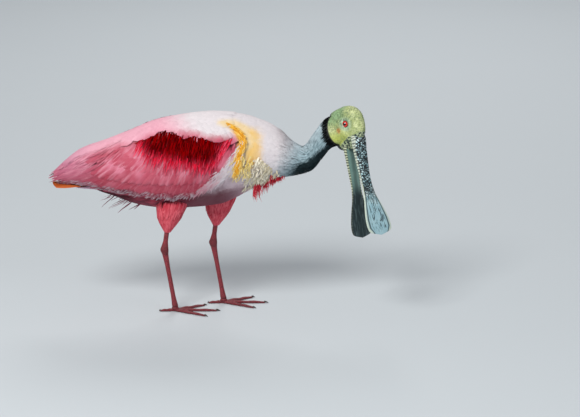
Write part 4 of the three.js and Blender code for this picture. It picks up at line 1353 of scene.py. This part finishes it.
ridge_heights = np.linspace(262, 344, 60)
ridge_slope = np.gradient(ridge_x(ridge_heights), ridge_heights)
for side, word in ((right_wing, "right"), (left_wing, "left")):
    for name, settings, rows in WING_ROWS:
        x, turn, end_x, end_turn, half, tip = np.concatenate(rows, axis=1)
        vanes = coat(f"{name}_{word}", side, (x, turn), (end_x, end_turn), half, tip, **settings)
        dressed(vanes, wing_paint, "rose_plumage", *[f"wing_{word}"] * (name == "flight_feathers"))

    x, z = wing_spots(6.4, -240, 62, lambda x: edge_z(x) + 20, lambda x: wing_low_z(x) + 10)
    outside = (x < -112) | (x > 60) | (z < patch_low_z(x) + 4)
    x, z = x[outside], z[outside]
    n, angle = len(x), wing_angle(x, z)
    reach = rng.uniform(22, 40, n)
    stand = np.interp(z - reach * np.sin(angle), [225, 246, 262, 278], [0.5, 1.3, 2.1, 2.9])
    lay(f"wing_barbs_{word}", strand_paint, "rose_plumage", side, x, z, angle + rng.normal(0, 0.09, n), reach,
        rng.uniform(1.2, 2.8, n), stand * lerp(0.4, 1, ease(x, -220, -150)),
        sink=-0.4, shape=plume_width, rings=6, thick=0.15)

    x, z = wing_spots(3.3, -99, 64, lambda x: edge_z(x) + 1, lambda x: patch_low_z(x) + 14)
    n = len(x)
    reach = rng.uniform(17, 30, n)
    lay(f"carmine_plumes_{word}", carmine_finish, "rose_plumage", side, x, z,
        patch_angle(x) + rng.normal(0, 0.09, n), reach, rng.uniform(1.0, 2.0, n), rng.uniform(3.2, 4.6, n),
        sink=0.8, shape=plume_width, rings=5)

    # Pale feathers that hang over the top of the patch
    x, above = np.repeat(np.linspace(-120, 68, 54), 4), np.tile([1, 7, 13, 20], 54)
    near_edge = x < 62 - above
    x, above = x[near_edge], above[near_edge]
    n = len(x)
    z = edge_z(x) + above + 3.0 * np.sin(x / 9.5) + rng.uniform(-1.2, 1.2, n)
    lay(f"shoulder_fringe_{word}", body_paint, "white_plumage", side, x, np.minimum(z, folded_top(x) - 5),
        rng.normal(0.62, 0.1, n), rng.uniform(15, 20, n), tip=rng.uniform(4.3, 4.9, n) - 2.6 * (above - 1) / 19,
        half=rng.uniform(4.2, 6.2, n), sink=lerp(2.0, 5.0, ease(x, 40, 62)), rings=7, across=4, thick=0.2, camber=0.35)

    # White bristly feathers along the front of the wing's lower edge
    x, z = wing_spots(2.2, 4, 80, lambda x: wing_low_z(x) + lerp(6, 30, ease(x, 0, 60)), lambda x: wing_low_z(x) + 1)
    n = len(x)
    lay(f"wing_edge_{word}", edge_finish, "white_plumage", side, x, z, rng.normal(0.8, 0.16, n),
        rng.uniform(12, 22, n), rng.uniform(0.9, 2.0, n), rng.uniform(1.4, 2.8, n),
        sink=0.8, shape=plume_width, rings=5, thick=0.2)

    # Mantle feathers over the back, down to the roots of the scapulars
    x, turn = (v.ravel() for v in np.meshgrid(np.arange(-240, 72, 6.5), np.arange(0.13, 1.1, 0.075)))
    x = x + rng.uniform(-2.5, 2.5, len(x))
    turn = turn + rng.uniform(-0.03, 0.03, len(x))
    keep = turn < np.minimum(np.radians(wing_top_turn(x)) + lerp(0.34, 0.22, ease(x, -230, -120)), 1.0)
    x, turn = x[keep], turn[keep]
    n = len(x)
    angle = rng.normal(0.16, 0.08, n)
    end = headed(side, x, turn, angle, rng.uniform(21, 29, n) * lerp(0.7, 1.0, ease(x, -240, -200)))
    stand = ease(x, -275, -190) * lerp(1, 0.6, ease(x, 35, 65)) * lerp(0.75, 1, ease(turn, 0.1, 0.35))
    tip = rng.uniform(1.2, 1.8, n) * stand + 0.5
    mantle = coat(f"mantle_{word}", side, (x, turn), end, rng.uniform(6.5, 9, n), tip,
                  sink=lerp(0.8, 4.0, ease(x, 40, 68)), rings=6, across=4, thick=0.3, camber=0.4)
    dressed(mantle, body_paint, "white_plumage")

    # Pale tips along the wing's lower edge, greyed as painted shade
    n = 252
    x = np.repeat(np.linspace(-236, 10, 84), 3) + rng.uniform(-1, 1, n)
    z = wing_low_z(x) + np.tile([3, 6, 9], 84) + 2 * np.sin(x / 5) - 5.5 * ease(x, -185, -215)
    lay(f"wing_hem_{word}", hem_finish, "rose_plumage", side, x, z,
        wing_angle(x, z) * 0.8 + rng.normal(0.05, 0.12, n), rng.uniform(12, 18, n), rng.uniform(1.3, 2.6, n),
        rng.uniform(0.6, 1.8, n), sink=0.5, rings=6, thick=0.2, shape=plume_width)

    # The raised ochre ridge at the bend of the wing, and yellow curls under it
    n = 1200
    z = rng.uniform(262, 343, n)
    x = ridge_x(z) + rng.normal(0, 2.5, n)
    lean = np.arctan(np.interp(z, ridge_heights, ridge_slope))
    lay(f"ochre_ridge_{word}", ochre_finish, "white_plumage", side, x, z, PI / 2 - lean + rng.normal(0, 0.13, n),
        rng.uniform(8, 12, n), rng.uniform(0.6, 1.2, n), rng.uniform(1.6, 3.0, n) * lerp(1, 0.7, ease(z, 322, 342)),
        sink=0.5, shape=plume_width, thick=0.4)
    # Small feathers that lead from the top of the ridge back over the shoulder
    n = 150
    z = rng.uniform(320, 335, n)
    x = ridge_x(z) + rng.uniform(-9, -1, n)
    lay(f"shoulder_cap_{word}", body_paint, "white_plumage", side, x, z, rng.normal(0.35, 0.15, n),
        rng.uniform(11, 17, n), rng.uniform(2.6, 4.2, n), rng.uniform(2.0, 2.6, n),
        sink=3.5, rings=6, across=4, thick=0.2, camber=0.3)
    x, z = wing_spots(4.0, 62, 93, lambda x: 292, lambda x: 254)
    n = len(x)
    lay(f"yellow_curls_{word}", butter_finish, "white_plumage", side, x, z, rng.normal(1.2, 0.35, n),
        rng.uniform(8, 13, n), rng.uniform(0.9, 1.5, n), rng.uniform(1.6, 2.6, n),
        sink=0.5, curl=rng.uniform(0.5, 2.6, n), bend=rng.uniform(-0.3, 0.3, n), shape=plume_width, rings=6)

# A row down the middle of the back, over the meeting of the two wings
n = 180
x = np.repeat(np.linspace(-236, 70, 60), 3) + rng.uniform(-2, 2, n)
turn = np.tile([-0.07, 0.0, 0.07], 60) + rng.uniform(-0.02, 0.02, n)
end = (x - rng.uniform(19, 26, n), turn + rng.normal(0, 0.015, n))
back_line = coat("back_line_feathers", both_wings, (x, turn), end, rng.uniform(6, 8, n), ease(x, -275, -200) + 0.7,
                 sink=lerp(-0.7, 4.0, ease(x, 30, 68)), rings=6, across=4, thick=0.2, camber=0.3)
dressed(back_line, body_paint, "white_plumage")


# Tail

def tail_plane(a, b, lift):
    """A flat fan: a runs back from the rump, b across it from -1 to 1"""
    level = 2.6 * (1 - np.abs(b))
    t = (a + 168) / -90.0
    x, y = a + 6 * b * b * t, b * lerp(13.0, 19.0, t)
    z = lerp(231, 225.5 + level, t) - 1.5 * b * b + 1.5 * np.sin(PI * np.clip(t, 0, 1)) - 0.4 * level * (1 - t)
    return np.stack([x, y, z + lift], axis=-1)


def undertail_plane(a, b, lift):
    """The soft feathers under the tail, as a shallow trough"""
    t = (a + 150) / -85.0
    y = b * lerp(24.0, 14.0, t)
    z = lerp(215.0, 221.5, np.clip(t, 0, 1.2)) + 0.016 * y * y
    return np.stack([a, y, z - lift], axis=-1)


spread = np.linspace(-1, 1, 12)
start, end = ((0 * spread + x, spread) for x in (-168, -257))
tail = coat("tail_feathers", tail_plane, start, end, 6.5, 0.0, sink=0.5, rings=10, across=8, thick=0.9, camber=0.4)
dressed(tail, feather_finish("tail feathers", tail_paint, barb=1.4, barb_depth=0.15), "tail_plumage", "tail")

n = 90
a, b = rng.uniform(-192, -140, n), rng.uniform(-1, 1, n)
soft = coat("undertail_feathers", undertail_plane, (a, b), (a - rng.uniform(26, 40, n), b * 0.9),
            rng.uniform(3, 5.5, n), rng.uniform(0, 2.0, n), sink=0.5, rings=6, across=4, thick=0.4)
soft_paint = single_paint((186, 128, 152), (226, 190, 208))
dressed(soft, feather_finish("undertail feathers", soft_paint, barb=1.2), "rose_plumage")

# Thighs, and the feathers of the flank that lead from the belly down over each
THIGH_COAT_INSET = 1.2
thigh_paint = single_paint((206, 62, 78), (232, 104, 118))
thigh_finish = feather_finish("thigh feathers", thigh_paint, barb=0.8, spread=0.2)


def thigh_coat(thigh):
    return lambda a, turn, lift: thigh(a, turn, lift - THIGH_COAT_INSET)


def flank_coat(thigh):
    def surface(a, turn, lift):
        out = np.stack([np.cos(turn), 0.85 * np.sin(turn), 0 * turn], axis=-1) * (3 - 3 * ease(a, 0, 0.8))[..., None]
        return thigh(0.3 + 0.42 * a, turn, lift + 0.3) + out + (9 * (1 - a))[..., None] * (0, 0, 1)

    return surface


for word, leg in LEGS.items():
    thigh = thigh_of(leg)
    rows, count = 34, 46
    n = rows * count
    a = np.repeat(np.linspace(0.05, 0.93, rows), count) + rng.uniform(-0.01, 0.01, n)
    b = np.tile(np.arange(count) / count * 2 * PI, rows) + rng.uniform(-0.07, 0.07, n)
    end = headed(thigh, a, b, PI + rng.normal(0, 0.12, n), rng.uniform(13, 19, n))
    piece = coat(f"thigh_feathers_{word}", thigh_coat(thigh), (a, b), (np.minimum(end[0], 0.99), end[1]),
                 rng.uniform(1.3, 2.1, n), rng.uniform(0.3, 1.0, n), sink=0.6, shape=plume_width, thick=0.4)
    dressed(piece, thigh_finish, "rose_plumage")

for word, leg in LEGS.items():
    n = 420
    b = rng.uniform(0, 2 * PI, n)
    a = rng.uniform(0, 0.42, n)
    end = (np.minimum(a + rng.uniform(0.4, 0.6, n), 1.0), b + rng.normal(0, 0.06, n))
    piece = coat(f"flank_feathers_{word}", flank_coat(thigh_of(leg)), (a, b), end, rng.uniform(1.6, 2.8, n),
                 rng.uniform(0.2, 1.2, n), sink=0.5, shape=plume_width, rings=6, thick=0.25)
    dressed(piece, thigh_finish, "rose_plumage")


# Locks that hang free: the breast's curled tuft and the wisps under the tail

SWAY_RUN = 24  # the length over which a lock sways


def hanging(at, lean, sway):
    """Where locks hang from their roots: a runs down a lock and b across it, in millimetres"""
    def surface(a, b, lift):
        def each(values):
            return np.asarray(values).reshape((-1,) + (1,) * (a.ndim - 1))

        (x, y, z), (lean_x, lean_y, lean_z) = map(each, at.T), map(each, lean.T)
        x = x + lean_x * a + each(sway) * np.sin(a / SWAY_RUN * 2.6) * a / SWAY_RUN + b * 0.86
        y = y + lean_y * a + b * 0.5 - lift
        return np.stack([x, y, z - lean_z * a + 0 * b], axis=-1)

    return surface


clumps, strands = 34, 6
n = clumps * strands
x = 97 + 46 * np.linspace(0, 1, clumps) ** 1.15 + rng.normal(0, 1.5, clumps)
turn = PI + rng.uniform(-0.85, 0.7, clumps)
reach = np.interp(x, [97, 112, 126, 143], [31, 26, 16, 9]) * rng.uniform(0.75, 1.1, clumps)
lean = np.stack([rng.normal(-0.15, 0.16, clumps), rng.normal(0, 0.06, clumps), np.ones(clumps)], axis=1)
sway = rng.choice([-1, 1], clumps) * rng.uniform(2.5, 6.5, clumps)
x, turn, reach, sway = (np.repeat(v, strands) for v in (x, turn, reach, sway))
lean = np.repeat(lean, strands, axis=0) + rng.normal(0, 0.09, (n, 3)) * (1, 1, 0)
turn = turn + rng.normal(0, 0.05, n)
at = trunk(at_trunk(x + rng.normal(0, 1.2, n)), turn, -1.0)
none = np.zeros(n)
tuft = coat("breast_tuft", hanging(at, lean, sway), (none, none), (reach * rng.uniform(0.75, 1.05, n), none),
            rng.uniform(0.6, 1.1, n), 0.3, sink=0.0, rings=9, thick=0.9, shape=plume_width)
tuft_paint = single_paint((190, 6, 22), (240, 50, 78))
dressed(tuft, feather_finish("breast tuft", tuft_paint, barb=0.8, spread=0.25), "rose_plumage")

n = 420
x = np.clip(rng.normal(103, 13, n), 82, 140)
turn = PI + rng.choice([-1, 1], n) * rng.uniform(0.45, 1.0 + 0.7 * ease(x, 140, 96), n)
a = at_trunk(x)
end = headed(trunk, a, turn, rng.normal(0, 0.5, n) + np.where(turn < PI, 0.8, -0.8), rng.uniform(7, 11, n))
curls = coat("cream_curls", over_skin(2), (a, turn), end, rng.uniform(1.3, 2.3, n), rng.uniform(2.0, 3.4, n),
             curl=rng.uniform(1.5, 4.5, n), bend=rng.choice([-1, 1], n) * rng.uniform(0.25, 0.6, n),
             sink=0.5, shape=plume_width, rings=8)
curl_paint = single_paint((232, 216, 178), (254, 248, 234))
dressed(curls, feather_finish("cream curls", curl_paint, barb=0.8), "white_plumage")

n = 22
x = rng.uniform(-150, -92, n)
turn = PI + rng.uniform(-1.0, 1.0, n)
fall = rng.uniform(0.25, 1.15, n)
lean = np.stack([-1.9 + 0.9 * fall, rng.normal(0, 0.15, n), 0.35 + fall * 0.5], axis=1)
at, none = trunk(at_trunk(x), turn, -1.5), np.zeros(n)
wisps = coat("undertail_wisps", hanging(at, lean, rng.normal(0, 3, n)), (none, none), (rng.uniform(12, 26, n), none),
             rng.uniform(1.6, 3.6, n), 0.3, sink=0.0, rings=7, thick=0.7, shape=plume_width)
wisp_paint = single_paint((104, 34, 50), (164, 78, 100))
dressed(wisps, feather_finish("undertail wisps", wisp_paint), "rose_plumage")
